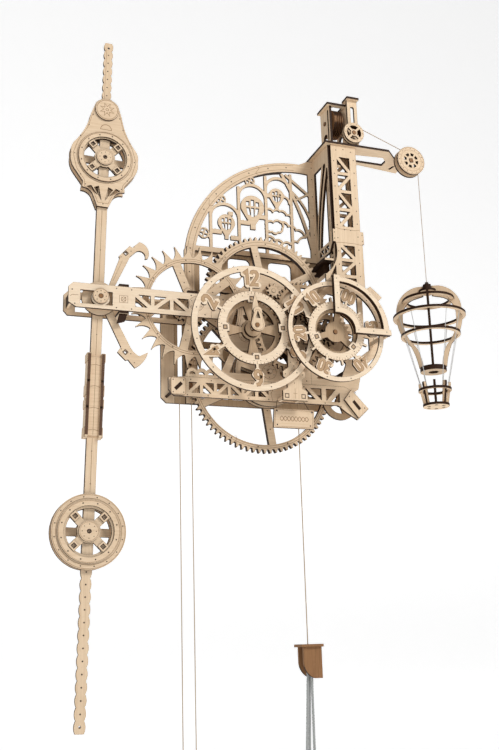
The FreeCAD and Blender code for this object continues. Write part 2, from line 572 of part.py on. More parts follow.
def train():
    phase_g = direction(GREAT, CENTER)
    great = gear_outline(GREAT, GREAT_MODULE, GREAT_TEETH, phase_g, 0.75, 1.2, 0.40)
    node("great_wheel", rim_wheel(GREAT, great, Y_GREAT, 2 * PLY, 80.0, 14.0, 5, 4.5, 62))
    node("great_arbor", pin(GREAT, -47, -3.5))
    node("great_hub", tube(GREAT, Y_GREAT + 2 * PLY, -6.6, PIN_R, 9), tube(GREAT, -22, Y_GREAT, PIN_R, 9))

    phase_c = meshed(GREAT, CENTER, GREAT_TEETH, phase_g, GREAT_PINION)
    pinion = gear_outline(CENTER, GREAT_MODULE, GREAT_PINION, phase_c, 0.7, 1.25, 0.36)
    node("center_pinion", plate(pinion, [Round(*CENTER, PIN_R)], Y_GREAT - 1.5, 9))
    phase_w = direction(CENTER, ESCAPE)
    wheel = gear_outline(CENTER, GREAT_MODULE, CENTER_TEETH, phase_w, 0.75, 1.2, 0.40)
    node("center_wheel", rim_wheel(CENTER, wheel, Y_CENTER, 2 * PLY, 64.0, 13.0, 5, 4.5, 30))
    node("center_arbor", pin(CENTER, -50.5, -3.5))
    node("center_hub", tube(CENTER, -38, Y_CENTER, PIN_R, 9), tube(CENTER, Y_CENTER + 2 * PLY, -19.5,
                                                                   PIN_R, 7))
    phase_t = direction(CENTER, MOTION)
    small = gear_outline(CENTER, MOTION_MODULE, 10, phase_t, 0.7, 1.2, 0.36)
    node("cannon_pinion", plate(small, [Round(*CENTER, PIN_R)], Y_MOTION, 4))

    phase_p = meshed(CENTER, ESCAPE, CENTER_TEETH, phase_w, ESCAPE_PINION)
    pinion = gear_outline(ESCAPE, GREAT_MODULE, ESCAPE_PINION, phase_p, 0.7, 1.2, 0.38)
    node("escape_pinion", plate(pinion, [Round(*ESCAPE, PIN_R)], Y_CENTER, 2 * PLY))
    r_in, r_rim, r_tip = ESCAPE_R
    moves = []
    pitch = 360.0 / ESCAPE_TEETH
    for i in range(ESCAPE_TEETH):
        a = i * pitch
        moves.append((polar(ESCAPE, (r_rim + r_tip) / 2 - 0.6, a - 2.9), polar(ESCAPE, r_tip, a - 0.75)))
        moves.append(polar(ESCAPE, r_tip, a))
        moves.append((polar(ESCAPE, (r_rim + r_tip) / 2 - 1.2, a + 1.0), polar(ESCAPE, r_rim, a + 5.6)))
        moves.append(polar(ESCAPE, r_rim, a + pitch - 5.0))
    outline = Outline(polar(ESCAPE, r_rim, -5.0), *moves[:-1])
    node("escape_wheel", rim_wheel(ESCAPE, outline, Y_ESCAPE, PLY, r_in, 13.0, 5, 5.0, 40))
    node("escape_arbor", pin(ESCAPE, -45, -5.5))
    node("escape_hub", tube(ESCAPE, -38, Y_ESCAPE, PIN_R, 9), tube(ESCAPE, Y_ESCAPE + PLY, Y_CENTER,
                                                                   PIN_R, 9),
         tube(ESCAPE, Y_CENTER + 2 * PLY, -13, PIN_R, 7))

    drum = [plate(Round(*GREAT, DRUM_FLANGE_R), spoked(GREAT, 12, 33, 5, 4, 20) + [Round(*GREAT,
                                                                                         PIN_R + RUN)], y, 2.4)
            for y in (-38.5, -29.0)]
    core = tube(GREAT, -36.2, -28.9, DRUM_R - 4, DRUM_R)
    node("cord_drum", fused(drum + [core]))
    holes = spoked(WINDING, 6, 14, 4, 2, 20) + [Round(*WINDING, PIN_R + RUN)]
    node("winding_disc", plate(Round(*WINDING, 21.9), holes, -30.0, PLY))
    node("winding_pin", pin(WINDING, -40, -21.0))


# ------------------------------------------------------------------ motion work and dials
DIGITS = {
    "0": [[(-3.4, 4.5), (0, 8), (3.4, 4.5), (3.4, -4.5), (0, -8), (-3.4, -4.5), (-3.4, 4.5)]],
    "1": [[(-2.6, 5), (1.4, 8), (1.4, -8)]],
    "2": [[(-3.8, 4.6), (-0.6, 8), (3.4, 5.4), (3.0, 1.6), (-3.8, -7.6), (4.2, -7.6)]],
    "3": [[(-3.6, 7), (0.6, 8), (3.4, 4.6), (0, 0.6), (3.6, -4), (0.6, -8), (-3.8, -6.6)]],
    "4": [[(1.6, -8), (1.6, 8), (-4.2, -2.8), (4.4, -2.8)]],
    "5": [[(3.8, 7.6), (-3.2, 7.6), (-3.6, 1.0), (1.4, 1.8), (3.6, -2.6), (0.8, -7.8), (-3.8, -6.6)]],
    "6": [[(3.0, 7.6), (-2.2, 4.2), (-3.6, -3.6), (0, -8), (3.6, -3.8), (0.4, 0.2), (-3.4, -2.4)]],
    "8": [[(0, 0.6), (-3.2, 4.4), (0, 8), (3.2, 4.4), (0, 0.6), (-3.6, -3.8), (0, -8), (3.6, -3.8),
           (0, 0.6)]],
}


def pads(text, c, deg, scale, width, y):
    """Bold silhouettes of the digits of a number, turned so that their tops point outward."""
    advance = 10.2 * scale
    out = []
    for i, ch in enumerate(text):
        shift = (i - (len(text) - 1) / 2) * advance
        for stroke in DIGITS[ch]:
            pts = turned([(x * scale + shift, z * scale) for x, z in stroke], c, deg)
            out += [bar_xz(p, q, width, y) for p, q in zip(pts, pts[1:])]
            if ch == "0":
                out.append(plate(box_at(turned([(shift, 0)], c, deg)[0], 6 * scale, 14 * scale, deg),
                                 [], y))
    return out


def dial(c, radii, y, labels, r_text, scale, width, sockets, socket_r, pegs):
    r0, r1, r2, r3 = radii
    bits = [tube(c, y, y + PLY, r0, r1), tube(c, y, y + PLY, r2, r3)]
    for text, a in labels:
        bits += pads(text, polar(c, r_text, a), a - 90.0, scale, width, y)
        bits.append(bar_xz(polar(c, r1 - 1, a), polar(c, r_text - 7.5 * scale, a), 3.2, y))
        bits.append(bar_xz(polar(c, r_text + 8 * scale, a), polar(c, r2 + 1, a), 3.2, y))
    for a in pegs:
        bits.append(bar_xz(polar(c, r1 - 1, a), polar(c, r1 + 4.2, a), 2.6, y))
    for a in sockets:
        bits.append(plate(box_at(polar(c, socket_r, a), 10, 10, a), [], y))
    whole = fused(bits)
    square = [plate(box_at(polar(c, socket_r, a), 4.0, 4.0, a), [], y - 1, PLY + 2) for a in sockets]
    return whole.cut(Part.makeCompound(square)).Solids[0], square


def dials():
    hour_labels = [(t, 90.0 + 3.0 + 60.0 * i) for i, t in enumerate(("12", "2", "4", "6", "8", "10"))]
    hour_sockets = [3.5, 93.5, 183.5, 273.5]
    body, _ = dial(HOUR, HOUR_R, Y_HOUR, hour_labels, 58.5, 1.02, 7.2, hour_sockets, 34.5,
                   [33 + 60 * k for k in range(6)])
    node("hour_dial", body)
    minute_labels = [(t, 68.0 + 60.0 * i) for i, t in enumerate(("00", "10", "20", "30", "40", "50"))]
    minute_sockets = [79.0, 199.0, 319.0]
    body, _ = dial(MINUTE, MINUTE_R, Y_MINUTE, minute_labels, 46.6, 0.80, 5.6, minute_sockets, 26.8,
                   [38 + 60 * k for k in range(6)])
    node("minute_dial", body)

    y = Y_HOUR_WHEEL
    node("hour_posts", *[plate(box_at(polar(HOUR, 34.5, a), 4, 4, a), [], Y_HOUR, y - Y_HOUR)
                         for a in hour_sockets])
    phase_j = direction(REDUCTION, HOUR)
    phase_h = meshed(REDUCTION, HOUR, 12, phase_j, 36)
    wheel = gear_outline(HOUR, HOUR_MODULE, 36, phase_h, 0.7, 1.2, 0.40)
    ring = tube(HOUR, Y_HOUR_WHEEL - 4.2, Y_HOUR_WHEEL, PIN_R + RUN, 9.1)
    holes = [sector(HOUR, 12, 28.5, a + 14, a + 76) for a in (3.5, 93.5, 183.5, 273.5)]
    node("hour_wheel", plate(wheel, holes + [Round(*HOUR, PIN_R + RUN)], y, 3.4), )
    node("hour_hub", ring)

    wheel_j = plate(gear_outline(REDUCTION, HOUR_MODULE, 40, direction(REDUCTION, MINUTE), 0.7, 1.2,
                                 0.40),
                    spoked(REDUCTION, 15.5, 34, 5, 3, 10) + [Round(*REDUCTION, PIN_R + RUN)],
                    Y_REDUCTION, 3.4)
    pinion_j = plate(gear_outline(REDUCTION, HOUR_MODULE, 12, phase_j, 0.7, 1.2, 0.37),
                     [Round(*REDUCTION, PIN_R + RUN)], Y_HOUR_WHEEL, -(Y_HOUR_WHEEL - Y_REDUCTION))
    node("reduction_wheel", wheel_j)
    node("reduction_pinion", pinion_j)

    phase_i = direction(MOTION, MINUTE)
    phase_m = meshed(MOTION, MINUTE, 12, phase_i, 30)
    wheel_m = plate(gear_outline(MINUTE, MINUTE_MODULE, 30, phase_m, 0.7, 1.2, 0.40),
                    spoked(MINUTE, 13, 22, 5, 2.6, 0) + [Round(*MINUTE, PIN_R + RUN)],
                    Y_MINUTE_WHEEL, 3.4)
    phase_mp = meshed(REDUCTION, MINUTE, 40, direction(REDUCTION, MINUTE), 10)
    pinion_m = plate(gear_outline(MINUTE, HOUR_MODULE, 10, phase_mp, 0.7, 1.2, 0.36),
                     [Round(*MINUTE, PIN_R + RUN)], Y_REDUCTION, Y_MINUTE_WHEEL - Y_REDUCTION)
    node("minute_wheel", wheel_m)
    sleeve = tube(MINUTE, Y_SPIDER + PLY, Y_REDUCTION, PIN_R + RUN, 6.5)
    lobes = []
    for i in range(7):
        a = 360.0 / 7 * i
        lobes.append(Round(*polar(MINUTE, 4.9, a), 1.1))
    arms = [plate(Round(*MINUTE, 12.5), [], Y_SPIDER)]
    arms += [bar_xz(MINUTE, polar(MINUTE, 26.8, a), 7.0, Y_SPIDER) for a in minute_sockets]
    arms.append(tube(MINUTE, Y_SPIDER, Y_SPIDER + PLY, 23.0, 30.5))
    cutter = [plate(box_at(polar(MINUTE, 26.8, a), 4, 4, a), [], Y_SPIDER - 1,
                    PLY + 2) for a in minute_sockets]
    cutter.append(pin(MINUTE, Y_SPIDER - 1, Y_SPIDER + 5, PIN_R + RUN))
    spider = fused(arms).cut(Part.makeCompound(cutter)).Solids[0]
    node("minute_spider", spider, sleeve, pinion_m)
    node("minute_posts", *[plate(box_at(polar(MINUTE, 26.8, a), 4, 4, a), [], Y_MINUTE,
                                 Y_SPIDER + PLY - Y_MINUTE)
                           for a in minute_sockets])

    phase_mi = meshed(CENTER, MOTION, 10, direction(CENTER, MOTION), 40)
    wheel_i = plate(gear_outline(MOTION, MOTION_MODULE, 40, phase_mi, 0.7, 1.2, 0.40),
                    spoked(MOTION, 13.5, 28, 5, 3, 30) + [Round(*MOTION, PIN_R + RUN)], Y_MOTION, 3.6)
    pinion_i = plate(gear_outline(MOTION, MINUTE_MODULE, 12, phase_i, 0.7, 1.2, 0.37),
                     [Round(*MOTION, PIN_R + RUN)], Y_MINUTE_WHEEL, Y_MOTION - Y_MINUTE_WHEEL)
    node("motion_wheel", wheel_i, pinion_i)

    node("dial_pins", pin(HOUR, -82.0, -40), pin(MINUTE, -76.5, -40), pin(REDUCTION, -67.0, -40),
         pin(MOTION, -54.4, -40))


def pointer_and_window():
    x, z = 1.5, 1.4
    drop = Outline((x - 7.9, z), ((x, z - 8.3), (x + 8.3, z)), (x + 5.0, z + 13.5), ((x, z + 20.5),
                                                                                     (x - 4.6, z + 13.5)))
    tri = Outline((x - 2.6, z + 7), (x + 3.0, z + 7), (x + 0.2, z + 15.5))
    node("hour_pointer", plate(drop, [tri, Round(*HOUR, PIN_R)], -81.0, PLY))
    node("pointer_blade", plate(Outline((-6, -5), (7, -5), (4, 24), (0, 39.7), (-3.4, 24)),
                                [Round(*HOUR, PIN_R)],
                                -78.0, 1.5))

    frame = Outline((93, 66.5), (93, 20.7), (98, 20.7), ((111.6, 14.8), (117.3, 1.6)), (117.3, -2),
                    (163, -2), (163, 4.3),
                    (160.6, 4.3), (polar(MINUTE, 62.5, 45), (101.0, 64.2)), (101.0, 66.5))
    hole = Outline((100, 58.5), (100, 27.4), ((116.4, 19.8), (124.0, 5)), (153.4, 5), (polar(MINUTE,
                                                                                             57, 45),
                                                                                             (104.5,
                                                                                              58.2)))
    node("minute_window", plate(frame, [hole], Y_WINDOW, PLY), plate(frame, [hole], Y_WINDOW + PLY, PLY))
    y = Y_WINDOW + 2 * PLY
    node("window_posts", plate(rect(93.5, 63.2, 97.5, 66.2), [], y, Y_FRONT - y),
         plate(rect(159.6, -1.5, 162.8, 3.5), [], y, Y_FRONT - y))

    j = REDUCTION
    strut = Outline((34.3, -80), (64, -80), (64, -69), (58, -66), (58, -56), (62, -53), (62, -47),
                    (55.4, -42),
                    (55.4, -18), (j[0] + 6.5, j[1] - 4.5), ((j[0], j[1] + 8), (j[0] - 6.5,
                                                                               j[1] - 4.5)), (41.6, -18),
                    (41.6, -42), (35, -47), (35, -53), (40, -56), (40, -66), (34.3, -69))
    holes = [rect(37, -77, 41, -73), rect(57, -77, 61, -73), Round(48.5, -50, 3.0), Round(*j, PIN_R)]
    node("dial_strut", plate(strut, holes, Y_STRUT, PLY))
    node("strut_posts", plate(rect(37, -77, 41, -73), [], Y_STRUT, Y_FRONT - Y_STRUT),
         plate(rect(57, -77, 61, -73), [], Y_STRUT, Y_FRONT - Y_STRUT))


# ------------------------------------------------------------------ pendulum
def leaning(shape):
    """Turn a shape drawn upright about the pivot into the stored lean."""
    s = shape.copy()
    s.rotate(V(0, 0, 0), V(0, 1, 0), TILT)
    s.translate(V(PIVOT[0], 0, PIVOT[1]))
    return s


def scalloped(z0, z1, width, count):
    """A strip with round bumps along both edges."""
    step = (z1 - z0) / count
    low, high = width / 2 - 1.6, width / 2
    moves = []
    for i in range(count):
        z = z0 + i * step
        moves.append(((high, z + step / 2), (low, z + step)))
    for i in range(count):
        z = z1 - i * step
        back = ((-high, z - step / 2), (-low, z - step))
        moves.append(back if i else (-low, z1))
        if not i:
            moves.append(back)
    return Outline((low, z0), *moves)


def pendulum():
    y0, y1 = ROD_Y
    h = ROD_W / 2
    hole = Round(0, 0, PIN_R + RUN)
    rod = rect(-h, -290, h, 251)
    node("pendulum_rod", leaning(plate(rod, [hole], y0, y1 - y0)))
    node("rod_top_strip", leaning(plate(scalloped(251, 327, 11.0, 7), [Round(0, 320, 1.2)], y0 + 1.5,
                                        PLY)))
    node("rod_bottom_strip", leaning(plate(scalloped(-454, -290, 12.0, 13), [Round(0, -447, 1.2)],
                                           y0 + 1.5, PLY)))
    sides = []
    for s in (-1, 1):
        u0, u1 = sorted((s * h, s * (h + 3.4)))
        sides.append(leaning(plate(rect(u0, -156, u1, -62.6), [], -35, 14)))
        for a, b in ((-72, -62.6), (-110, -98), (-124, -114), (-156, -145)):
            v0, v1 = sorted((s * (h + 3.4), s * (h + 4.4)))
            sides.append(leaning(plate(rect(v0, a, v1, b), [], -34, 12)))
    node("rod_sleeve", *sides)
    node("sleeve_bands", leaning(plate(rect(-h, -154, h, -66), [], y0 - 2.2, 2.2)))

    hub = Outline((-20, -2), ((0, -20), (20, -2)), ((14.1, 14.1), (0, 20)), ((-14.1, 14.1), (-20, -2)))
    node("pallet_hub", leaning(plate(Round(0, 0, 19.5), [hole], -36.0, 2.8)),
         leaning(tube((0, 0), -39.4, -36.0, PIN_R + RUN, 8)))

    def local(points):
        a = math.radians(TILT)
        out = []
        for x, z in points:
            dx, dz = x - PIVOT[0], z - PIVOT[1]
            out.append((dx * math.cos(a) - dz * math.sin(a), dx * math.sin(a) + dz * math.cos(a)))
        return out

    up = local([(-160.5, 38), (-156.5, 48), (-144.5, 82.0), (-145.5, 84), (-133.0, 98.0), (-130.0, 96.0),
                (-121.8, 103.9), (-113.0, 98.5), (-112.0, 84.6), (-115.4, 83.6), (-118.0, 92.0),
                (-125.5, 91.5),
                (-132.5, 84.5), (-149.5, 48), (-152, 38)])
    head = Outline(up[0], up[1], up[2], up[3], up[4], up[5], up[6], (up[7], up[8]), up[9], (up[10],
                                                                                            up[11]),
                                                                                            up[12],
                   up[13], up[14])
    down = local([(-153, 22), (-150.5, 14), (-132.8, -20.0), (-128.6, -26.5), (-121.8, -31.6),
                  (-111.8, -26.4),
                  (-117.0, -37.5), (-126.8, -45.5), (-134.5, -36.5), (-137.0, -37.6), (-146.5, -28.5),
                  (-142.5, -22.5), (-160.0, 14), (-161.5, 22)])
    tail = Outline(down[0], down[1], down[2], (down[3], down[4]), down[5], (down[6], down[7]),
                   down[8], down[9],
                   down[10], down[11], down[12], down[13])
    pallets = fused([plate(head, [Round(*local([(-137.5, 88.5)])[0], 1.5)], -33.2, 3.2),
                     plate(tail, [Round(*local([(-137.5, -28.0)])[0], 1.5)], -33.2, 3.2),
                     plate(Round(0, 0, 16.5), [], -33.2, 3.2)])
    node("pallet_arms", leaning(pallets.cut(pin((0, 0), -40, -20, PIN_R + RUN))))
    node("pivot_axle", pin(PIVOT, -45.0, -9))
    node("pivot_disc", tube(PIVOT, -45.0, -43.0, PIN_R, 9.0))


def spoke_cross(c, r0, r1, half, phase):
    return spoked(c, r0, r1, 4, half, phase)


def bobs():
    """The two sliding bobs: a face, a wheel on it, a back and two side blocks."""
    front, back = ROD_Y[0] - 0.4 - PLY, ROD_Y[1] + 0.4
    h = ROD_W / 2 + 0.45
    c = (0, LOWER_BOB)
    cross = spoke_cross(c, 12.5, 24.1, 4.5, 45)
    node("lower_bob_face", leaning(plate(Round(*c, 39.4), cross, front)))
    node("lower_bob_back", leaning(plate(Round(*c, 39.4), spoke_cross(c, 12.5, 24.1, 4.5, 0), back)))
    blocks = [rect(h, c[1] + s * 29 - 3, h + 6, c[1] + s * 29 + 3) for s in (-1, 1)]
    blocks += [rect(-h - 6, c[1] + s * 29 - 3, -h, c[1] + s * 29 + 3) for s in (-1, 1)]
    node("lower_bob_blocks", *[leaning(plate(b, [], front + PLY, back - front - PLY)) for b in blocks])
    ring = tube(c, front - 2.0, front, 26.5, 32.9)
    cap = tube(c, front - 2.0, front, 2.0, 10.9)
    studs = [plate(box_at(polar(c, 21.5, a), 8.5, 8.5, a), [box_at(polar(c, 21.5, a), 3.6, 3.6, a)],
                   front - 2.0, 2.0)
             for a in (45, 135, 225, 315)]
    node("lower_bob_wheel", leaning(ring), leaning(cap), *[leaning(s) for s in studs])

    c = (0, UPPER_BOB)
    right = [(13.2, 242), (18, 228), (23.5, 209), (34, 190), (39, 173), (34.5, 154), (24, 140),
             (24.6, 132.5),
             (12, 125), (6.5, 111.5)]
    left = [(-x, z) for x, z in reversed(right)]
    moves = [right[1], (right[2], right[3]), ((38.6, 182), right[4]), ((38.6, 163), right[5]),
             right[6], right[7],
             ((16.5, 130.5), right[8]), right[9], left[0], left[1], ((-16.5, 130.5), left[2]),
             left[3], left[4],
             ((-38.6, 163), left[5]), ((-38.6, 182), left[6]), (left[7], left[8]), left[9]]
    outline = Outline(right[0], *moves[:-1], left[9], ((0, 249), right[0]))
    fan = []
    for s in (-1, 1):
        fan.append(Outline((s * 2.0, 119), (s * 11, 134), (s * 5.5, 136.5)))
        fan.append(Outline((s * 6.5, 125), (s * 19.5, 134), (s * 14.2, 136)))
    node("upper_bob_face", leaning(plate(outline, spoke_cross(c, 12.0, 24.0, 4.5, 45) + fan, front)))
    node("upper_bob_back", leaning(plate(outline, spoke_cross(c, 12.0, 24.0, 4.5, 0), back)))
    blocks = [rect(h, c[1] + s * 28 - 3, h + 6, c[1] + s * 28 + 3) for s in (-1, 1)]
    blocks += [rect(-h - 6, c[1] + s * 28 - 3, -h, c[1] + s * 28 + 3) for s in (-1, 1)]
    node("upper_bob_blocks", *[leaning(plate(b, [], front + PLY, back - front - PLY)) for b in blocks])
    ring = tube(c, front - 2.0, front, 25.5, 30.8)
    cap = tube(c, front - 2.0, front, 2.0, 9.8)
    studs = [plate(box_at(polar(c, 20.5, a), 8, 8, a), [box_at(polar(c, 20.5, a), 3.6, 3.6, a)],
                   front - 2.0, 2.0)
             for a in (45, 135, 225, 315)]
    medal = plate(Round(0.0, 234, 13.6), [], front - 2.0, 2.0)
    node("upper_bob_wheel", leaning(ring), leaning(cap), leaning(medal), *[leaning(s) for s in studs])


# ------------------------------------------------------------------ hanging balloon
def radial(shape, deg):
    s = shape.copy()
    s.rotate(V(0, 0, 0), V(0, 0, 1), deg)
    s.translate(V(BALLOON_X, BALLOON_Y, 0))
    return s


def balloon():
    angles = [BALLOON_YAW + 90.0 * i for i in range(4)]
    rib = Outline((5, 79), (14, 78.5), ((31, 69), (39.5, 47)), ((36.5, 22), (24.5, 3)), ((19.5, -11),
                                                                                         (16.6, -25)),
                  (11, -25), ((13.5, -10), (18.5, 2)), ((30.5, 24), (32, 41)), ((27.5, 55.5), (17,
                                                                                               63)),
                                                                                               (5, 66))
    rings = [plate(Round(0, 0, 10.5), [Round(0, 0, 5)], 71, PLY, "xy")]
    for z, r in BALLOON_HOOPS:
        rings.append(plate(Round(0, 0, r), [Round(0, 0, r - 5.5)], z, PLY, "xy"))
    threads = []
    for a in angles:
        for da in (30, 60):
            start, end = V(42.0, 0, 39.6), V(17.6, 0, -52.4)
            line = Part.makeCylinder(0.35, (end - start).Length, start, end - start)
            threads.append(radial(line, a + da))
    strings = Part.makeCompound(threads)
    ribs = [plate(rib, [], -PLY / 2, PLY) for _ in angles]
    cutter = Part.makeCompound([Part.makeCompound(rings)])
    node("balloon_ribs", *[radial(r, a).cut(radial(cutter, 0)) for r, a in zip(ribs, angles)])
    node("balloon_rings", *[radial(r, 0).cut(strings) for r in rings])
    cap = Part.makeCylinder(5, 13, V(0, 0, 68)).fuse(Part.makeCylinder(2.2, 4, V(0, 0, 80)))
    node("balloon_cap", radial(cap, 0))
    base = plate(Round(0, 0, 15.8), [Round(0, 0, 6)], -31, 2 * PLY, "xy")
    node("balloon_base", radial(base, 0))
    floor = plate(Round(0, 0, 15.8), [Round(*polar((0, 0), 10, 60 * i), 2.0) for i in range(6)], -74,
                  PLY, "xy")
    rim = plate(Round(0, 0, 19.8), [Round(0, 0, 16.2)], -55, PLY, "xy")
    fin = plate(Outline((11.6, -71), (14.8, -71), (19.2, -48), (19.2, -45), (15.6, -45), (15.6,
                                                                                          -48)), [],
                                                                                          -PLY / 2, PLY)
    fins = [radial(fin, a + 45 * k).cut(radial(rim, 0)) for a in angles for k in (0, 1)]
    centre = radial(plate(rect(-2, -71, 2, -40), [], -PLY / 2, PLY), BALLOON_YAW)
    node("basket", radial(floor, 0), radial(rim, 0).cut(strings), centre, *fins)
    node("rigging", *threads)
    node("balloon_thread", Part.makeCylinder(0.4, CRANE_WHEEL[1] - 84.0, V(BALLOON_X, BALLOON_Y, 84.0)))
    a = V(CRANE_WHEEL[0], BALLOON_Y, CRANE_WHEEL[1] + 11.7)
    b = V(GUIDE_WHEEL[0] + 2, -61.2, GUIDE_WHEEL[1] + 11.8)
    node("crane_thread", Part.makeCylinder(0.4, (b - a).Length, a, b - a))


# ------------------------------------------------------------------ sign, cords and weight
def cords():
    node("nameplate", plate(Outline((30, -86), (79, -86), (77.5, -108), (28.5, -108)), [Round(33,
                                                                                              -88.5,
                                                                                              1.0),
                                                                                              Round(76, -88.5, 1.0)],
                            -49.0, PLY))
    hangers = []
    for x0, x1 in ((33, 36), (76, 69)):
        low, high = V(x0, -45.55, -88.5), V(x1, -43.5, -75.5)
        hangers.append(Part.makeCylinder(0.4, (high - low).Length, low, high - low))
    node("nameplate_threads", *hangers)
    x = GREAT[0] + DRUM_R + 0.55
    y = -32.5
    node("weight_thread", Part.makeCylinder(0.5, 343.5 + GREAT[1], V(x, y, -343.5)))
    side = Outline((57, -346.5), (57, -362), ((60.5, -372.5), (69.5, -379)), (78.5, -379), (78.5, -346.5))
    hole = Round(66.9, -365, 3.2)
    node("weight_bracket", plate(side, [hole], -40.5, PLY), plate(side, [hole], -27.5, PLY),
         plate(rect(54, -346.5, 80, -343.5), [], -43, 21),
         pin((66.9, -365), -40.5, -24.5, 3.2))
    ropes = []
    for x0, x1, yy, z1 in ((58.9, 56.9, -34.5, -462), (65.6, 62.9, -30.5, -468), (69.0, 69.4, -35.0,
                                                                                  -464)):
        top = V(66.9 + (x0 - 65.6) * 0.4, yy, -368.5)
        ropes.append(Part.makeCylinder(1.6, (V(x1, yy, z1) - top).Length, top, V(x1, yy, z1) - top))
    for i, r in enumerate(ropes):
        node("weight_rope_%d" % (i + 1), r)
    node("rope_knot", Part.makeSphere(8.5, V(63.2, -33, -470)).cut(Part.makeCompound(ropes)))
    cx, cz = LOOP
    pulley = [plate(Round(cx, cz, 8.6), [Round(cx, cz, PIN_R + RUN)], yy, 1.5) for yy in (-28.5, -23.5)]
    pulley.append(tube(LOOP, -27.1, -23.4, PIN_R + RUN, 6.4))
    node("loop_pulley", fused(pulley))
    node("loop_pulley_pin", pin(LOOP, -40, -21.5))
    bottom = -462.0
    yy = -25.2
    up, down = V(cx - 7, yy, bottom), V(cx + 7, yy, bottom)
    over = Part.Arc(V(cx - 7, yy, cz), V(cx, yy, cz + 7), V(cx + 7, yy, cz)).toShape()
    under = Part.Arc(down, V(cx, yy, bottom - 7), V(cx - 6.9, yy, bottom - 1.0)).toShape()
    edges = [Part.LineSegment(up, V(cx - 7, yy, cz)).toShape(), over,
             Part.LineSegment(V(cx + 7, yy, cz), down).toShape(), under]
    ring = Part.Wire([Part.Circle(up, V(0, 0, 1), 0.5).toShape()])
    node("winding_loop", Part.Wire(edges).makePipeShell([ring], True, True))
    bob = fused([plate(Round(cx, bottom, 8.6), [], yy, 1.5) for yy in (-28.5, -23.5)]
                + [pin((cx, bottom), -27.1, -23.4, 6.4)])
    node("loop_bob", bob)


# ------------------------------------------------------------------ one file per named part
GROUPS = {
    "spacers": ("wall_spacers", "beam_spacers", "frame_spacers", "tower_strut"),
    "side_boards": ("left_board", "arch_leg"),
    "cover_plates": ("base_arcade", "corner_plate", "base_gusset", "window_gusset", "pivot_disc"),
    "tower_front": ("tower_front", "tower_back", "reel_front_plate"),
    "tower_box": ("tower_side_left", "tower_side_right", "side_panel"),
    "crane_plate": ("crane_plate", "reel_caps"),
    "crane_ribs": ("crane_hanger", "lower_brace"),
    "reel_brackets": ("reel_bracket_left", "reel_bracket_right"),
    "fixed_pins": ("crane_wheel_pin", "reel_axle", "guide_wheel_pin", "winding_pin", "dial_pins",
                   "loop_pulley_pin",
                   "pivot_axle"),
    "hour_pointer": ("hour_pointer", "pointer_blade"),
    "front_posts": ("window_posts", "strut_posts"),
    "pendulum_rod": ("pendulum_rod", "rod_top_strip", "rod_bottom_strip"),
    "rod_sleeve": ("rod_sleeve", "sleeve_bands"),
    "pallet_arms": ("pallet_arms", "pallet_hub"),
    "lower_bob_back": ("lower_bob_back", "lower_bob_blocks"),
    "upper_bob_back": ("upper_bob_back", "upper_bob_blocks"),
    "escape_arbor": ("escape_arbor", "escape_hub", "escape_pinion"),
    "center_arbor": ("center_arbor", "center_hub", "center_pinion", "cannon_pinion"),
    "great_arbor": ("great_arbor", "great_hub"),
    "hour_wheel": ("hour_wheel", "hour_hub", "hour_posts"),
    "minute_wheel": ("minute_wheel", "minute_spider", "minute_posts"),
    "reduction_gear": ("reduction_wheel", "reduction_pinion"),
    "motion_gear": ("motion_wheel",),
    "balloon_rings": ("balloon_rings", "balloon_cap", "balloon_base"),
    "nameplate": ("nameplate", "nameplate_threads"),
    "weight_ropes": ("weight_rope_1", "weight_rope_2", "weight_rope_3", "rope_knot"),
}


def main():
    os.makedirs("parts", exist_ok=True)
    for make in (wall_side, arch_frame, front_side, spacers, tower, train, dials, pointer_and_window,
                 pendulum, bobs,
                 balloon, cords):
        make()
    grouped = {}
    for name, members in GROUPS.items():
        solids = []
        for member in members:
            solids += NODES.pop(member).Solids
        grouped[name] = Part.makeCompound(solids)
    NODES.update(grouped)
    for name, shape in sorted(NODES.items()):
        shape = shape.copy()
        shape.translate(V(-HANG[0], 0, -HANG[1]))
        shape.exportStep(os.path.join("parts", name + ".step"))
        if not shape.isValid():
            print("invalid", name)
    print(len(NODES), "nodes")


main()
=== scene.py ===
"""Plywood wall clock: finishes, engraved work, cords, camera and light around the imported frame."""
from __future__ import annotations

import json
import logging
import math
from dataclasses import dataclass, field
from enum import Enum
from typing import Iterable, Sequence

import bpy
import numpy as np
from mathutils import Matrix

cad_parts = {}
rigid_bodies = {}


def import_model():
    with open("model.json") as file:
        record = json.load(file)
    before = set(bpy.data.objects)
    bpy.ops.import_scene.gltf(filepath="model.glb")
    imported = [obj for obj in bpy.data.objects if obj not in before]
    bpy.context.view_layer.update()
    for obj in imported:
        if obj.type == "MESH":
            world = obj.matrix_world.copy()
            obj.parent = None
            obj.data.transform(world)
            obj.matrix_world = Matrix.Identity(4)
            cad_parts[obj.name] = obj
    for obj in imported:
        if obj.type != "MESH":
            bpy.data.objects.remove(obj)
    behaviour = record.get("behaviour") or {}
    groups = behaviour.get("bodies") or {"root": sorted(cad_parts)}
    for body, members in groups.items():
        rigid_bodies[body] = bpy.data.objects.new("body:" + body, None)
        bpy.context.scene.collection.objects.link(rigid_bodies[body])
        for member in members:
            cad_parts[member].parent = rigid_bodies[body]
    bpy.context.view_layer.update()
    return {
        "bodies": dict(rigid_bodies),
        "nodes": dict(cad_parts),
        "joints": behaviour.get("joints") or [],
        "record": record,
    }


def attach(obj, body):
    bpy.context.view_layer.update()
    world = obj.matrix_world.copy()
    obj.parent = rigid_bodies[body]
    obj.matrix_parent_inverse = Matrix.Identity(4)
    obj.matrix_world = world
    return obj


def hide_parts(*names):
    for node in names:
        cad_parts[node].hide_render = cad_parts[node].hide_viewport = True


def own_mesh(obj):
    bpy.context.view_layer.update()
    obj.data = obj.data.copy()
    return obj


LOG = logging.getLogger("wall_clock")
MM = 0.001

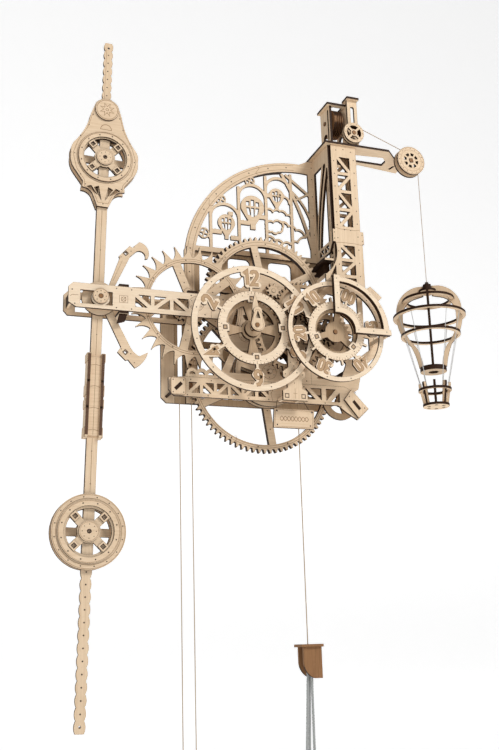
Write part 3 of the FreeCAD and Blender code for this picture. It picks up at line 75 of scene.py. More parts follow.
# Places in mm from the hour dial axis: x to the right, z up, y to the back.
HANG = (28.0, 224.5)
HOUR = (0.5, 0.0)
MINUTE = (98.2, 1.6)
CENTER = (34.0, 54.6)
GREAT = (28.0, -42.014)
ESCAPE = (-57.934, 32.3)
PIVOT = (-167.7, 30.6)
ARCH = (89.0, 94.0)
CRANE_WHEEL = (225.8, 246.0)
GUIDE_WHEEL = (144.0, 269.0)
LOWER_BOB, UPPER_BOB = -255.2, 173.0
TILT = math.radians(1.7)
BALLOON_AXIS = (0.2093, -0.053, 0.0)   # where the finishes need it: in the row frame, in m

# Cords, in the same mm.
WEIGHT_X, WEIGHT_Y, BRACKET_TOP = 65.85, -32.5, -343.5
LOOP, LOOP_LOW, LOOP_Y, LOOP_R = (-67.0, -62.0), -462.0, -25.2, 7.0
ROPE_TOP, ROPE_R = -368.5, 1.6
ROPES = ((64.22, 58.5, -34.0, -466.0), (66.9, 62.9, -31.5, -468.0), (68.26, 67.6, -34.5, -466.0))
KNOT = (63.2, -33.0, -470.0)
GUIDE_TOP, CRANE_TOP = (146.0, -61.2, 280.8), (225.8, -53.0, 257.7)
BALLOON, BALLOON_YAW = (237.3, -53.0), 58.7
CAP_TOP, LIFT = 84.0, 80.0
RIG_TOP, RIG_LOW = (42.0, 39.6), (17.6, -52.4)
WEIGHT_R, WINDING_R, CRANE_R, RIG_R = 0.55, 0.5, 0.45, 0.4

# Depth of each engraved face.
FACES = {
    "arch": -9.0, "beam": -43.0, "corner": -46.0, "pivot_cover": -45.0, "tower": -59.0, "window": -90.0,
    "pointer": -81.0, "strut": -66.5, "centre_plate": -43.0, "guide_wheel": -64.5, "crane_wheel": -58.4,
    "rod": -30.0, "strip": -28.5, "sleeve": -32.2, "sleeve_ribs": -35.0, "pallet": -33.2, "sign": -49.0,
    "lower_bob": -33.4, "upper_bob": -33.4, "upper_face": -33.4, "lower_wheel": -35.4, "upper_wheel": -35.4,
    "medal": -35.4, "great": -18.0, "center": -26.0, "escape": -33.0, "hour_dial": -71.5,
    "minute_dial": -79.5,
}

Point = tuple[float, float]
Color = tuple[float, float, float]
Paint = Color | bpy.types.NodeSocket


class Sheet(Enum):
    """Which way the plywood faces of a part look, as weights on the object normal."""

    FRONT = (0.0, 1.0, 0.0)
    SIDE = (1.0, 0.0, 0.0)
    FLAT = (0.0, 0.0, 1.0)
    ALL = (1.0, 1.0, 1.0)
    # Standing ribs take their mask from the spoke directions; the last weight only tells the two apart.
    RADIAL = (1.0, 1.0, 0.001)
    RADIAL_FLAT = (1.0, 1.0, 0.002)


class Grain(Enum):
    """Direction of the face grain, as texture scales in 1/m."""

    ALONG_X = (22.0, 300.0, 620.0)
    ALONG_Z = (620.0, 300.0, 22.0)


# ------------------------------------------------------------------ shader nodes
@dataclass
class Wiring:
    """One node tree, with short calls for the nodes that repeat; a value is a number, colour or socket."""

    tree: bpy.types.NodeTree

    def add(self, kind: str, sockets: dict[str | int, object], **settings: object) -> bpy.types.Node:
        """A node with its settings made and its sockets set or linked.

        Args:
            kind: node type, without the common prefix.
            sockets: value or source socket by input name or number.
            settings: the node's own properties.

        Returns:
            The node.
        """
        node = self.tree.nodes.new("ShaderNode" + kind)
        for name, value in settings.items():
            setattr(node, name, value)
        for key, value in sockets.items():
            if isinstance(value, bpy.types.NodeSocket):
                self.tree.links.new(value, node.inputs[key])
            else:
                node.inputs[key].default_value = value
        return node

    def group(self, tree: bpy.types.NodeTree, **values: object) -> bpy.types.NodeOutputs:
        """A shared group with its own values, as its outputs.

        Args:
            tree: the group.
            values: value or source socket by input name.

        Returns:
            The node's outputs.
        """
        return self.add("Group", values, node_tree=tree).outputs

    def math(self, operation: str, *values: object) -> bpy.types.NodeSocket:
        """The result of a number operation.

        Args:
            operation: its name.
            values: values or sockets, in order.

        Returns:
            The socket of the result.
        """
        return self.add("Math", dict(enumerate(values)), operation=operation).outputs[0]

    def vector(self, operation: str, *values: object) -> bpy.types.NodeSocket:
        """The result of a vector operation, a number for a dot product.

        Args:
            operation: its name.
            values: values or sockets, in order.

        Returns:
            The socket of the result.
        """
        node = self.add("VectorMath", dict(enumerate(values)), operation=operation)
        return node.outputs["Value" if operation == "DOT_PRODUCT" else "Vector"]

    def ramp(self, value: bpy.types.NodeSocket, low: float, high: float, bottom: float = 0.0,
             top: float = 1.0) -> bpy.types.NodeSocket:
        """A value from low to high, stretched and held to bottom to top.

        Args:
            value: source socket.
            low: value that gives the bottom.
            high: value that gives the top.
            bottom: result at low.
            top: result at high.

        Returns:
            The socket of the result.
        """
        sockets = {"Value": value, "From Min": low, "From Max": high, "To Min": bottom, "To Max": top}
        return self.add("MapRange", sockets).outputs["Result"]

    def mix(self, share: bpy.types.NodeSocket, a: Paint, b: Paint) -> bpy.types.NodeSocket:
        """The colour a, turning to b by a share.

        Args:
            share: socket from 0 to 1.
            a: colour or socket at 0.
            b: colour or socket at 1.

        Returns:
            The socket of the mixed colour.
        """
        a, b = ((*paint, 1.0) if isinstance(paint, tuple) else paint for paint in (a, b))
        return self.add("Mix", {0: share, 6: a, 7: b}, data_type="RGBA").outputs[2]

    def noise(self, where: bpy.types.NodeSocket, scale: object, detail: float,
              **more: float) -> bpy.types.NodeSocket:
        """Fractal noise from 0 to 1.

        Args:
            where: socket of the coordinates.
            scale: value or socket of the scale.
            detail: how many octaves.
            more: other inputs by name.

        Returns:
            The socket of the noise.
        """
        sockets = {"Vector": where, "Scale": scale, "Detail": detail, **more}
        return self.add("TexNoise", sockets).outputs["Fac"]

    def bump(self, height: bpy.types.NodeSocket, strength: float, distance: float) -> bpy.types.NodeSocket:
        """The normal of a surface raised by a height.

        Args:
            height: socket of the height.
            strength: how strongly it shows, from 0 to 1.
            distance: height of the relief in metres.

        Returns:
            The socket of the normal.
        """
        return self.add("Bump", {"Height": height, "Strength": strength,
                                 "Distance": distance}).outputs["Normal"]


def new_group(name: str, inputs: dict[str, str],
              outputs: Sequence[str]) -> tuple[Wiring, bpy.types.NodeOutputs, bpy.types.NodeInputs]:
    """An empty shader node group whose outputs are numbers.

    Args:
        name: name of the group.
        inputs: kind of socket by input name.
        outputs: names of the outputs.

    Returns:
        Its wiring, the sockets that come in and the sockets that go out.
    """
    tree = bpy.data.node_groups.new(name, "ShaderNodeTree")
    for label, kind in inputs.items():
        tree.interface.new_socket(name=label, in_out="INPUT", socket_type="NodeSocket" + kind)
    for label in outputs:
        tree.interface.new_socket(name=label, in_out="OUTPUT", socket_type="NodeSocketFloat")
    return Wiring(tree), tree.nodes.new("NodeGroupInput").outputs, tree.nodes.new("NodeGroupOutput").inputs


def group_sheet_grain() -> bpy.types.NodeTree:
    """Long birch streaks over stretched object coordinates, and soft clouds over plain ones.

    Returns:
        The node group, with a Streaks and a Clouds mask.
    """
    w, given, out = new_group("sheet_grain", {"Vector": "Vector", "Scale": "Vector"}, ("Streaks", "Clouds"))
    stretched = w.vector("MULTIPLY", given["Vector"], given["Scale"])
    w.tree.links.new(w.noise(stretched, 1.0, 4.0, Roughness=0.6, Distortion=0.5), out["Streaks"])
    w.tree.links.new(w.noise(given["Vector"], 26.0, 3.0), out["Clouds"])
    return w.tree


def group_burnt_edge() -> bpy.types.NodeTree:
    """Mask of the laser-cut edges: one minus the largest weighted part of the normal.

    Returns:
        The node group, with an Edge mask and the Ply lines, a sine across the sheet with 1 mm waves.
    """
    w, given, out = new_group("burnt_edge", {"Vector": "Vector", "Normal": "Vector", "Axes": "Vector"},
                              ("Edge", "Ply"))
    parts = w.add("SeparateXYZ", {0: w.vector("MULTIPLY", given["Normal"], given["Axes"])}).outputs
    sizes = [w.math("ABSOLUTE", part) for part in parts]
    largest = w.math("MAXIMUM", w.math("MAXIMUM", sizes[0], sizes[1]), sizes[2])
    w.tree.links.new(w.ramp(largest, 0.995, 0.95), out["Edge"])
    across = w.vector("DOT_PRODUCT", given["Vector"], given["Axes"])
    w.tree.links.new(w.math("SINE", w.math("MULTIPLY", across, 2 * math.pi / MM)), out["Ply"])
    return w.tree


def group_radial_edge() -> bpy.types.NodeTree:
    """Mask of the cut edges of ribs that stand like spokes around an upright axis.

    Returns:
        The node group: an Edge mask from the part of the normal that points away from the axis, and where
        Upright is 1 from its part along the axis too.
    """
    w, given, out = new_group("radial_edge", {"Vector": "Vector", "Normal": "Vector", "Axis": "Vector",
                                              "Upright": "Float"}, ("Edge",))
    away = w.vector("MULTIPLY", w.vector("SUBTRACT", given["Vector"], given["Axis"]), (1.0, 1.0, 0.0))
    radial = w.math("ABSOLUTE", w.vector("DOT_PRODUCT", w.vector("NORMALIZE", away), given["Normal"]))
    rise = w.math("ABSOLUTE", w.add("SeparateXYZ", {0: given["Normal"]}).outputs[2])
    largest = w.math("MAXIMUM", radial, w.math("MULTIPLY", rise, given["Upright"]))
    w.tree.links.new(w.ramp(largest, 0.18, 0.34), out["Edge"])
    return w.tree


def group_scorch() -> bpy.types.NodeTree:
    """Narrow scorched border on the faces along every cut: where a rounded normal leaves the flat one.

    Returns:
        The node group, with a Border mask.
    """
    w, given, out = new_group("scorched_border", {"Width": "Float"}, ("Border",))
    rounded = w.add("Bevel", {"Radius": given["Width"]}, samples=4).outputs["Normal"]
    flat = w.add("NewGeometry", {}).outputs["True Normal"]
    w.tree.links.new(w.ramp(w.vector("DOT_PRODUCT", rounded, flat), 0.995, 0.80), out["Border"])
    return w.tree


def group_scuff() -> bpy.types.NodeTree:
    """Scattered handling marks: the peaks of a fine noise.

    Returns:
        The node group, with a Marks mask.
    """
    w, given, out = new_group("handling_scuff", {"Vector": "Vector", "Scale": "Float"}, ("Marks",))
    w.tree.links.new(w.ramp(w.noise(given["Vector"], given["Scale"], 6.0), 0.58, 0.72), out["Marks"])
    return w.tree


@dataclass
class Workshop:
    """The shared node groups, made once."""

    grain: bpy.types.NodeTree = field(default_factory=group_sheet_grain)
    edge: bpy.types.NodeTree = field(default_factory=group_burnt_edge)
    scuff: bpy.types.NodeTree = field(default_factory=group_scuff)
    radial: bpy.types.NodeTree = field(default_factory=group_radial_edge)
    scorch: bpy.types.NodeTree = field(default_factory=group_scorch)


@dataclass
class Finish:
    """A material being made: its wiring and its shader."""

    name: str

    def __post_init__(self) -> None:
        """Make the material."""
        self.mat = bpy.data.materials.new(self.name)
        self.mat.use_nodes = True
        self.wiring = Wiring(self.mat.node_tree)
        self.shader = self.mat.node_tree.nodes["Principled BSDF"]

    def feed(self, socket: str, source: bpy.types.NodeSocket) -> None:
        """Link a source to one of the shader's sockets.

        Args:
            socket: name of the socket.
            source: what drives it.
        """
        self.mat.node_tree.links.new(source, self.shader.inputs[socket])

    def hold(self, socket: str, value: object) -> None:
        """Set one of the shader's sockets to a value that is the same all over.

        Args:
            socket: name of the socket.
            value: its value.
        """
        self.shader.inputs[socket].default_value = value


@dataclass(frozen=True)
class Plywood:
    """Laser-cut birch plywood: pale grained faces, scorched borders and burnt brown cut edges."""

    name: str
    sheet: Sheet
    grain: Grain
    pale: Color = (0.75, 0.58, 0.405)
    warm: Color = (0.60, 0.43, 0.27)
    burnt: Color = (0.050, 0.020, 0.0075)
    char: Color = (0.016, 0.0065, 0.003)
    handled: Color = (0.40, 0.25, 0.13)
    streak_share: float = 0.62
    cloud_share: float = 0.30
    handled_share: float = 0.12
    border_share: float = 0.85
    border_width: float = 0.9 * MM
    gloss: float = 0.15

    def make(self, shop: Workshop) -> bpy.types.Material:
        """Build the material.

        Args:
            shop: the shared node groups.

        Returns:
            The finished material.
        """
        made = Finish(self.name)
        w = made.wiring
        coords = w.add("TexCoord", {}).outputs
        where, normal = coords["Object"], coords["Normal"]
        grain = w.group(shop.grain, Vector=where, Scale=self.grain.value)
        scuff = w.group(shop.scuff, Vector=where, Scale=240.0)
        border = w.group(shop.scorch, Width=self.border_width)
        edge = w.group(shop.edge, Vector=where, Normal=normal, Axes=self.sheet.value)
        mask = edge["Edge"]
        if self.sheet in (Sheet.RADIAL, Sheet.RADIAL_FLAT):
            upright = 1.0 if self.sheet is Sheet.RADIAL else 0.0
            mask = w.group(shop.radial, Vector=where, Normal=normal, Axis=BALLOON_AXIS,
                           Upright=upright)["Edge"]
        face = w.mix(w.math("MULTIPLY", w.ramp(grain["Streaks"], 0.38, 0.68), self.streak_share), self.pale,
                     self.warm)
        face = w.mix(w.ramp(grain["Clouds"], 0.35, 0.75, top=self.cloud_share), face, self.warm)
        face = w.mix(w.math("MULTIPLY", scuff["Marks"], self.handled_share), face, self.handled)
        face = w.mix(w.math("MULTIPLY", border["Border"], self.border_share), face, self.burnt)
        cut = w.mix(w.ramp(edge["Ply"], -0.4, 0.9), self.char, self.burnt)
        made.feed("Base Color", w.mix(mask, face, cut))
        made.feed("Roughness", w.ramp(grain["Streaks"], 0.0, 1.0, 0.50, 0.72))
        made.feed("Normal", w.bump(grain["Streaks"], 0.18, 0.2 * MM))
        made.hold("Specular IOR Level", self.gloss)
        return made.mat


@dataclass(frozen=True)
class Engraving:
    """Scorched laser engraving: brown with darker specks."""

    name: str
    tone: Color
    dark: Color

    def make(self, shop: Workshop) -> bpy.types.Material:
        """Build the material.

        Args:
            shop: the shared node groups.

        Returns:
            The finished material.
        """
        made = Finish(self.name)
        w = made.wiring
        specks = w.group(shop.scuff, Vector=w.add("TexCoord", {}).outputs["Object"], Scale=900.0)["Marks"]
        made.feed("Base Color", w.mix(specks, self.tone, self.dark))
        made.feed("Roughness", w.ramp(specks, 0.0, 1.0, 0.7, 0.9))
        return made.mat


@dataclass(frozen=True)
class Twine:
    """Spun thread or rope: fine slanting fibres over a pale ground."""

    name: str
    light: Color
    shade: Color
    fibres: float

    def make(self, shop: Workshop) -> bpy.types.Material:
        """Build the material.

        Args:
            shop: the shared node groups.

        Returns:
            The finished material.
        """
        made = Finish(self.name)
        w = made.wiring
        where = w.add("TexCoord", {}).outputs["Object"]
        wave = w.add("TexWave", {"Vector": where, "Scale": self.fibres, "Distortion": 1.5},
                     bands_direction="DIAGONAL").outputs["Fac"]
        fuzz = w.group(shop.scuff, Vector=where, Scale=1500.0)["Marks"]
        made.feed("Base Color", w.mix(fuzz, w.mix(wave, self.shade, self.light), self.light))
        made.feed("Roughness", w.ramp(wave, 0.0, 1.0, 0.75, 0.95))
        made.feed("Normal", w.bump(wave, 0.5, 0.3 * MM))
        return made.mat


# ------------------------------------------------------------------ thin inlays on the faces
def polar(c: Point, r: float, deg: float) -> Point:
    """Point at radius r and angle deg about c: (cx + r cos a, cz + r sin a)."""
    a = math.radians(deg)
    return (c[0] + r * math.cos(a), c[1] + r * math.sin(a))


def place(x: float, y: float, z: float) -> np.ndarray:
    """A point of the row frame in metres, from mm about the hour dial axis."""
    return np.array([x - HANG[0], y, z - HANG[1]]) * MM


def arc(c: Point, r: float, a0: float, a1: float, n: int = 24) -> np.ndarray:
    """Points on an arc about c from angle a0 to a1 in degrees."""
    a = np.radians(np.linspace(a0, a1, n))
    return np.stack([c[0] + r * np.cos(a), c[1] + r * np.sin(a)], axis=1)


def lean(points: Iterable[Point]) -> np.ndarray:
    """Turn points drawn upright about the pivot into the pendulum's stored lean."""
    p = np.asarray(list(points), dtype=float)
    c, s = math.cos(TILT), math.sin(TILT)
    return np.stack([PIVOT[0] + p[:, 0] * c + p[:, 1] * s, PIVOT[1] - p[:, 0] * s + p[:, 1] * c], axis=1)


def add_object(name: str, data: bpy.types.ID) -> bpy.types.Object:
    """A new object in the scene.

    Args:
        name: piece name.
        data: mesh, curve, camera or light.

    Returns:
        The object.
    """
    obj = bpy.data.objects.new(name, data)
    bpy.context.scene.collection.objects.link(obj)
    return obj


def add_mesh(name: str, verts: Sequence, faces: Sequence[Sequence[int]],
             mat: bpy.types.Material) -> bpy.types.Object:
    """A new mesh object with one material, from points in metres.

    Args:
        name: piece name.
        verts: points in metres.
        faces: corner numbers of each face.
        mat: finish.

    Returns:
        The object.
    """
    mesh = bpy.data.meshes.new(name)
    mesh.from_pydata(verts, [], faces)
    mesh.materials.append(mat)
    return add_object(name, mesh)


@dataclass
class Inlay:
    """Thin closed strips and discs that lie in a face that looks to the front.

    A strip is its centre line moved half its width to both sides; front and back copies of these two
    lines are joined into a closed slab.
    """

    name: str
    y: float
    proud: float = 0.07
    sunk: float = 0.05
    verts: list[np.ndarray] = field(default_factory=list)
    faces: list[tuple[int, ...]] = field(default_factory=list)
    count: int = 0

    def _add(self, left: np.ndarray, right: np.ndarray, closed: bool) -> None:
        """Add one slab between two lines of the same length.

        Args:
            left: points of one side.
            right: points of the other side.
            closed: whether the lines run round in a loop.
        """
        n = len(left)
        front, back = self.y - self.proud, self.y + self.sunk
        for line, depth in ((left, front), (right, front), (left, back), (right, back)):
            self.verts.append(np.stack([line[:, 0], np.full(n, depth), line[:, 1]], axis=1))
        k = self.count
        for i in range(n if closed else n - 1):
            j = (i + 1) % n
            lf, rf, lb, rb = k + i, k + n + i, k + 2 * n + i, k + 3 * n + i
            lf2, rf2, lb2, rb2 = k + j, k + n + j, k + 2 * n + j, k + 3 * n + j
            self.faces += [(lf, rf, rf2, lf2), (lb, lb2, rb2, rb), (lf, lf2, lb2, lb), (rf, rb, rb2, rf2)]
        if not closed:
            first, last = (k, k + 2 * n, k + 3 * n, k + n), (k, k + n, k + 3 * n, k + 2 * n)
            self.faces += [first, tuple(v + n - 1 for v in last)]
        self.count += 4 * n

    def line(self, points: Sequence[Point] | np.ndarray, width: float, closed: bool = False) -> None:
        """A strip along a line of points.

        Args:
            points: the centre line, in mm from the hour dial axis.
            width: width in mm.
            closed: whether the line runs round in a loop.
        """
        p = np.asarray(points, dtype=float)
        if closed:
            before, after = np.roll(p, 1, axis=0), np.roll(p, -1, axis=0)
        else:
            before, after = np.vstack([p[:1], p[:-1]]), np.vstack([p[1:], p[-1:]])
        a, b = p - before, after - p
        if not closed:
            a[0], b[-1] = b[0], a[-1]
        a /= np.maximum(np.linalg.norm(a, axis=1, keepdims=True), 1e-9)
        b /= np.maximum(np.linalg.norm(b, axis=1, keepdims=True), 1e-9)
        t = a + b
        t /= np.maximum(np.linalg.norm(t, axis=1, keepdims=True), 1e-9)
        stretch = 1.0 / np.clip((t * a).sum(axis=1, keepdims=True), 0.5, 1.0)
        side = np.stack([-t[:, 1], t[:, 0]], axis=1) * stretch * width / 2
        self._add(p + side, p - side, closed)

    def ring(self, c: Point, r: float, width: float, n: int = 72) -> None:
        """A circular strip of radius r.

        Args:
            c: its centre.
            r: radius in mm.
            width: width in mm.
            n: number of points.
        """
        self.line(arc(c, r, 0, 360 - 360 / n, n), width, closed=True)

    def dot(self, c: Point, r: float) -> None:
        """A small round mark, drawn as a closed ring that meets at its centre.

        Args:
            c: its centre.
            r: radius in mm.
        """
        self.line(arc(c, r * 0.52, 0, 315, 8), r * 0.92, closed=True)

    def dots(self, points: Iterable[Point], r: float = 0.75) -> None:
        """Round marks at several points.

        Args:
            points: their centres.
            r: radius in mm.
        """
        for p in points:
            self.dot((float(p[0]), float(p[1])), r)

    def loop(self, points: Sequence[Point] | np.ndarray, width: float) -> None:
        """A closed polygon line.

        Args:
            points: the corners, in mm from the hour dial axis.
            width: width in mm.
        """
        self.line(points, width, closed=True)

    def box(self, c: Point, w: float, h: float, deg: float, width: float) -> None:
        """The outline of a turned rectangle.

        Args:
            c: its centre.
            w: length in mm.
            h: height in mm.
            deg: turn, anticlockwise.
            width: width of the line in mm.
        """
        a = math.radians(deg)
        pts = [(c[0] + x * math.cos(a) - z * math.sin(a), c[1] + x * math.sin(a) + z * math.cos(a))
               for x, z in ((-w / 2, -h / 2), (w / 2, -h / 2), (w / 2, h / 2), (-w / 2, h / 2))]
        self.line(pts, width, closed=True)

    def build(self, body: str, mat: bpy.types.Material) -> None:
        """Make the mesh object and ride it on its body.

        Args:
            body: CAD body that carries it.
            mat: finish.
        """
        points = np.vstack(self.verts)
        points = (points - np.array([HANG[0], 0.0, HANG[1]])) * MM
        obj = add_mesh(self.name, points.tolist(), self.faces, mat)
        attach(obj, body)
        LOG.info("%s: %d faces on %s", self.name, len(self.faces), body)


def pair(name: str) -> tuple[Inlay, Inlay]:
    """The lines and the pins of one face, both still empty.

    Args:
        name: the face, and the start of both names.

    Returns:
        The lines and the pins.
    """
    return Inlay(name + "_lines", FACES[name]), Inlay(name + "_pins", FACES[name])


DIGITS: dict[str, list[Point]] = {
    "0": [(-3.4, 4.5), (-2.2, 7.2), (0, 8), (2.2, 7.2), (3.4, 4.5), (3.4, -4.5), (2.2, -7.2), (0, -8),
          (-2.2, -7.2), (-3.4, -4.5)],
    "1": [(-2.6, 5), (1.4, 8), (1.4, -8)],
    "2": [(-3.8, 4.6), (-2.8, 7.2), (-0.6, 8), (2.2, 7.4), (3.4, 5.4), (3.3, 3.2), (2.4, 0.8), (-3.8, -7.6),
          (4.2, -7.6)],
    "3": [(-3.6, 7), (-1.4, 8), (1.8, 7.4), (3.4, 4.6), (2.4, 1.8), (0, 0.6), (2.8, -0.8), (3.6, -4),
          (2.6, -7), (0.4, -8), (-3.8, -6.6)],
    "4": [(1.6, -8), (1.6, 8), (-4.2, -2.8), (4.4, -2.8)],
    "5": [(3.8, 7.6), (-3.2, 7.6), (-3.6, 1.0), (-1.0, 2.2), (1.8, 1.6), (3.6, -2.6), (2.8, -6.0),
          (0.4, -7.8), (-3.8, -6.6)],
    "6": [(3.0, 7.6), (-0.4, 7.0), (-2.8, 3.6), (-3.6, -3.6), (-2.4, -7.0), (0, -8), (2.6, -7.0),
          (3.6, -3.8), (2.4, -0.6), (0.2, 0.2), (-2.4, -0.8), (-3.4, -3.0)],
    "8": [(0, 0.6), (-2.6, 2.2), (-3.2, 4.8), (-2.0, 7.4), (0, 8), (2.0, 7.4), (3.2, 4.8), (2.6, 2.2),
          (0, 0.6), (-2.8, -1.2), (-3.6, -4.2), (-2.4, -7.2), (0, -8), (2.4, -7.2), (3.6, -4.2), (2.8, -1.2),
          (0, 0.6)],
}


def number_lines(text: str, c: Point, deg: float, scale: float) -> list[tuple[np.ndarray, bool]]:
    """Centre lines of the digits of a number turned by deg about c.

    Args:
        text: the number.
        c: middle of the number.
        deg: turn, anticlockwise from upright.
        scale: size relative to the 16 mm digits.

    Returns:
        The lines, each with whether it closes.
    """
    a = math.radians(deg)
    rot = np.array([[math.cos(a), math.sin(a)], [-math.sin(a), math.cos(a)]])
    lines = []
    for i, ch in enumerate(text):
        shift = (i - (len(text) - 1) / 2) * 10.2 * scale
        p = np.asarray(DIGITS[ch], dtype=float) * scale + np.array([shift, 0.0])
        lines.append((p @ rot + np.asarray(c), ch == "0"))
    return lines


@dataclass
class Finishes:
    """Every material of the clock, made once."""

    shop: Workshop = field(default_factory=Workshop)
    made: dict[str, bpy.types.Material] = field(default_factory=dict)

    def __post_init__(self) -> None:
        """Make all finishes."""
        dark = {"pale": (0.30, 0.155, 0.07), "warm": (0.17, 0.08, 0.035)}
        kinds = [
            Plywood("birch_front", Sheet.FRONT, Grain.ALONG_X),
            Plywood("birch_front_upright", Sheet.FRONT, Grain.ALONG_Z),
            Plywood("birch_side", Sheet.SIDE, Grain.ALONG_Z),
            Plywood("birch_flat", Sheet.FLAT, Grain.ALONG_X),
            Plywood("birch_all", Sheet.ALL, Grain.ALONG_X),
            Plywood("birch_bleached", Sheet.FRONT, Grain.ALONG_X, (0.83, 0.68, 0.51), (0.70, 0.53, 0.36)),
            # Darker copy of the plain birch: painted shade for the gears and back plate that sit in shadow
            # behind the dials.
            Plywood("birch_painted_shade", Sheet.FRONT, Grain.ALONG_Z, (0.52, 0.37, 0.235), (0.38, 0.25, 0.14)),
            Plywood("birch_ribs", Sheet.RADIAL, Grain.ALONG_Z),
            Plywood("birch_basket", Sheet.RADIAL_FLAT, Grain.ALONG_Z),
            Plywood("stained_all", Sheet.ALL, Grain.ALONG_Z, **dark),
            Engraving("engraved_line", (0.26, 0.135, 0.06), (0.12, 0.05, 0.02)),
            Engraving("engraved_fill", (0.46, 0.30, 0.165), (0.34, 0.20, 0.10)),
            Engraving("cut_edge", (0.095, 0.042, 0.018), (0.040, 0.017, 0.007)),
            Engraving("burnt_mark", (0.045, 0.018, 0.008), (0.020, 0.008, 0.004)),
            Twine("beige_thread", (0.50, 0.37, 0.235), (0.33, 0.225, 0.13), 900.0),
            Twine("white_thread", (0.62, 0.62, 0.61), (0.50, 0.50, 0.49), 1200.0),
            Twine("white_rope", (0.62, 0.63, 0.62), (0.27, 0.28, 0.275), 520.0),
        ]
        for kind in kinds:
            self.made[kind.name] = kind.make(self.shop)

    def cut(self, body: str, lines: Inlay | None = None, pins: Inlay | None = None) -> None:
        """Build engraved lines and burnt pins.

        Args:
            body: CAD body that carries them.
            lines: the lines, if there are any.
            pins: the pins, if there are any.
        """
        for piece, finish in ((lines, "engraved_line"), (pins, "burnt_mark")):
            if piece is not None:
                piece.build(body, self.made[finish])

    def dress(self, frame: dict) -> None:
        """Give every CAD node its finish.

        Args:
            frame: the loaded frame.
        """
        table = {
            "birch_front_upright": ("side_boards", "tower_front", "dial_strut", "hour_pointer",
                                    "pendulum_rod", "cover_plates", "wall_hanger_plate"),
            "birch_side": ("tower_box", "reel_brackets"),
            "birch_flat": ("crane_plate", "balloon_rings", "spacers"),
            "birch_bleached": ("hour_dial", "minute_dial", "minute_window", "front_beam"),
            "birch_ribs": ("balloon_ribs",),
            "birch_basket": ("basket",),
            "birch_all": ("rod_sleeve", "front_posts", "escape_arbor", "center_arbor", "great_arbor"),
            # Painted shade: these gears and the back plate take the darker birch copy for the shadow they
            # lie in.
            "birch_painted_shade": ("reduction_gear", "motion_gear", "minute_wheel", "winding_disc", "hour_wheel",
                            "back_plate"),
            "stained_all": ("fixed_pins", "weight_bracket", "loop_bob", "loop_pulley", "thread_reel"),
            "beige_thread": ("weight_thread", "winding_loop", "crane_thread"),
            "white_thread": ("balloon_thread", "rigging"),
            "white_rope": ("weight_ropes",),
        }
        chosen = {node: finish for finish, names in table.items() for node in names}
        for node, obj in frame["nodes"].items():
            mat = self.made[chosen.get(node, "birch_front")]
            slots = obj.material_slots
            if not slots:
                obj.data.materials.append(mat)
            for slot in slots:
                slot.material = mat
        LOG.info("dressed %d nodes", len(frame["nodes"]))


# ------------------------------------------------------------------ engraved work, one class a sub-assembly
@dataclass
class WheelMarks:
    """Rim lines, joint lines and pin dots of a spoked wheel."""

    fin: Finishes
    name: str
    centre: Point
    rims: tuple[float, float]
    phase: float
    hub: float
    spoke_r: tuple[float, float]
    spokes: int = 5

    def build(self) -> None:
        """Cut the lines into the wheel's front face."""
        lines, marks = pair(self.name)
        for r in self.rims:
            lines.ring(self.centre, r, 0.42, 96)
        step = 360.0 / self.spokes
        r_mid = (self.rims[0] + self.rims[1]) / 2
        for i in range(self.spokes):
            a = self.phase + i * step
            marks.dots([polar(self.centre, r_mid, a + step * k) for k in (0.18, 0.5, 0.82)])
            marks.dots([polar(self.centre, r, a) for r in self.spoke_r], 0.7)
            joint = a + step / 2 + 4.0
            lines.line([polar(self.centre, r_mid + 4.2 * math.sin(t * math.pi / 2), joint + 2.2 * t ** 3)
                        for t in np.linspace(-1, 1, 13)], 0.4)
            swing = math.degrees(7.0 / (self.hub + 8))
            lines.line([polar(self.centre, self.hub + 4.0 + 6.0 * (1 - t * t), a + swing * t)
                        for t in np.linspace(-0.75, 0.75, 13)], 0.4)
        self.fin.cut(self.name, lines, marks)


@dataclass
class DialMarks:
    """Numbers, ticks, rim dots and sockets of a ring dial."""

    fin: Finishes
    name: str
    body: str
    centre: Point
    radii: tuple[float, float, float, float]
    labels: tuple[tuple[str, float], ...]
    text_r: float
    scale: float
    stroke: float
    socket_r: float
    sockets: tuple[float, ...]
    ticks: int = 60

    def build(self) -> None:
        """Cut the numbers and ticks into the dial."""
        face = FACES[self.name]
        outline = Inlay(self.name + "_numbers", face, 0.06)
        filling = Inlay(self.name + "_number_fill", face, 0.10)
        for text, a in self.labels:
            for line, closed in number_lines(text, polar(self.centre, self.text_r, a), a - 90.0, self.scale):
                outline.line(line, self.stroke, closed)
                filling.line(line, self.stroke - 1.15, closed)
        lines, marks = Inlay(self.name + "_ticks", face), Inlay(self.name + "_pins", face)
        inner, scale_r, text_out, rim_out = self.radii
        for i in range(self.ticks):
            a = 360.0 * i / self.ticks + 3.0
            depth = 3.6 if i % 5 == 0 else 2.2
            lines.line([polar(self.centre, r, a) for r in (scale_r - depth, scale_r - 0.1)], 0.5)
        rim, band = (text_out + rim_out) / 2, (inner + scale_r) / 2 + 0.6
        marks.dots([polar(self.centre, rim, 15.0 + 30.0 * i) for i in range(12)], 0.72)
        marks.dots([polar(self.centre, band, 20.0 + 22.5 * i) for i in range(16)], 0.5)
        for a in self.sockets:
            c = polar(self.centre, self.socket_r, a)
            marks.box(c, 4.3, 4.3, a, 0.9)
            for k in (45, 135, 225, 315):
                marks.dot(polar(c, 5.6, a + k), 0.45)
        self.fin.cut(self.body, outline)
        filling.build(self.body, self.fin.made["engraved_fill"])
        self.fin.cut(self.body, lines, marks)


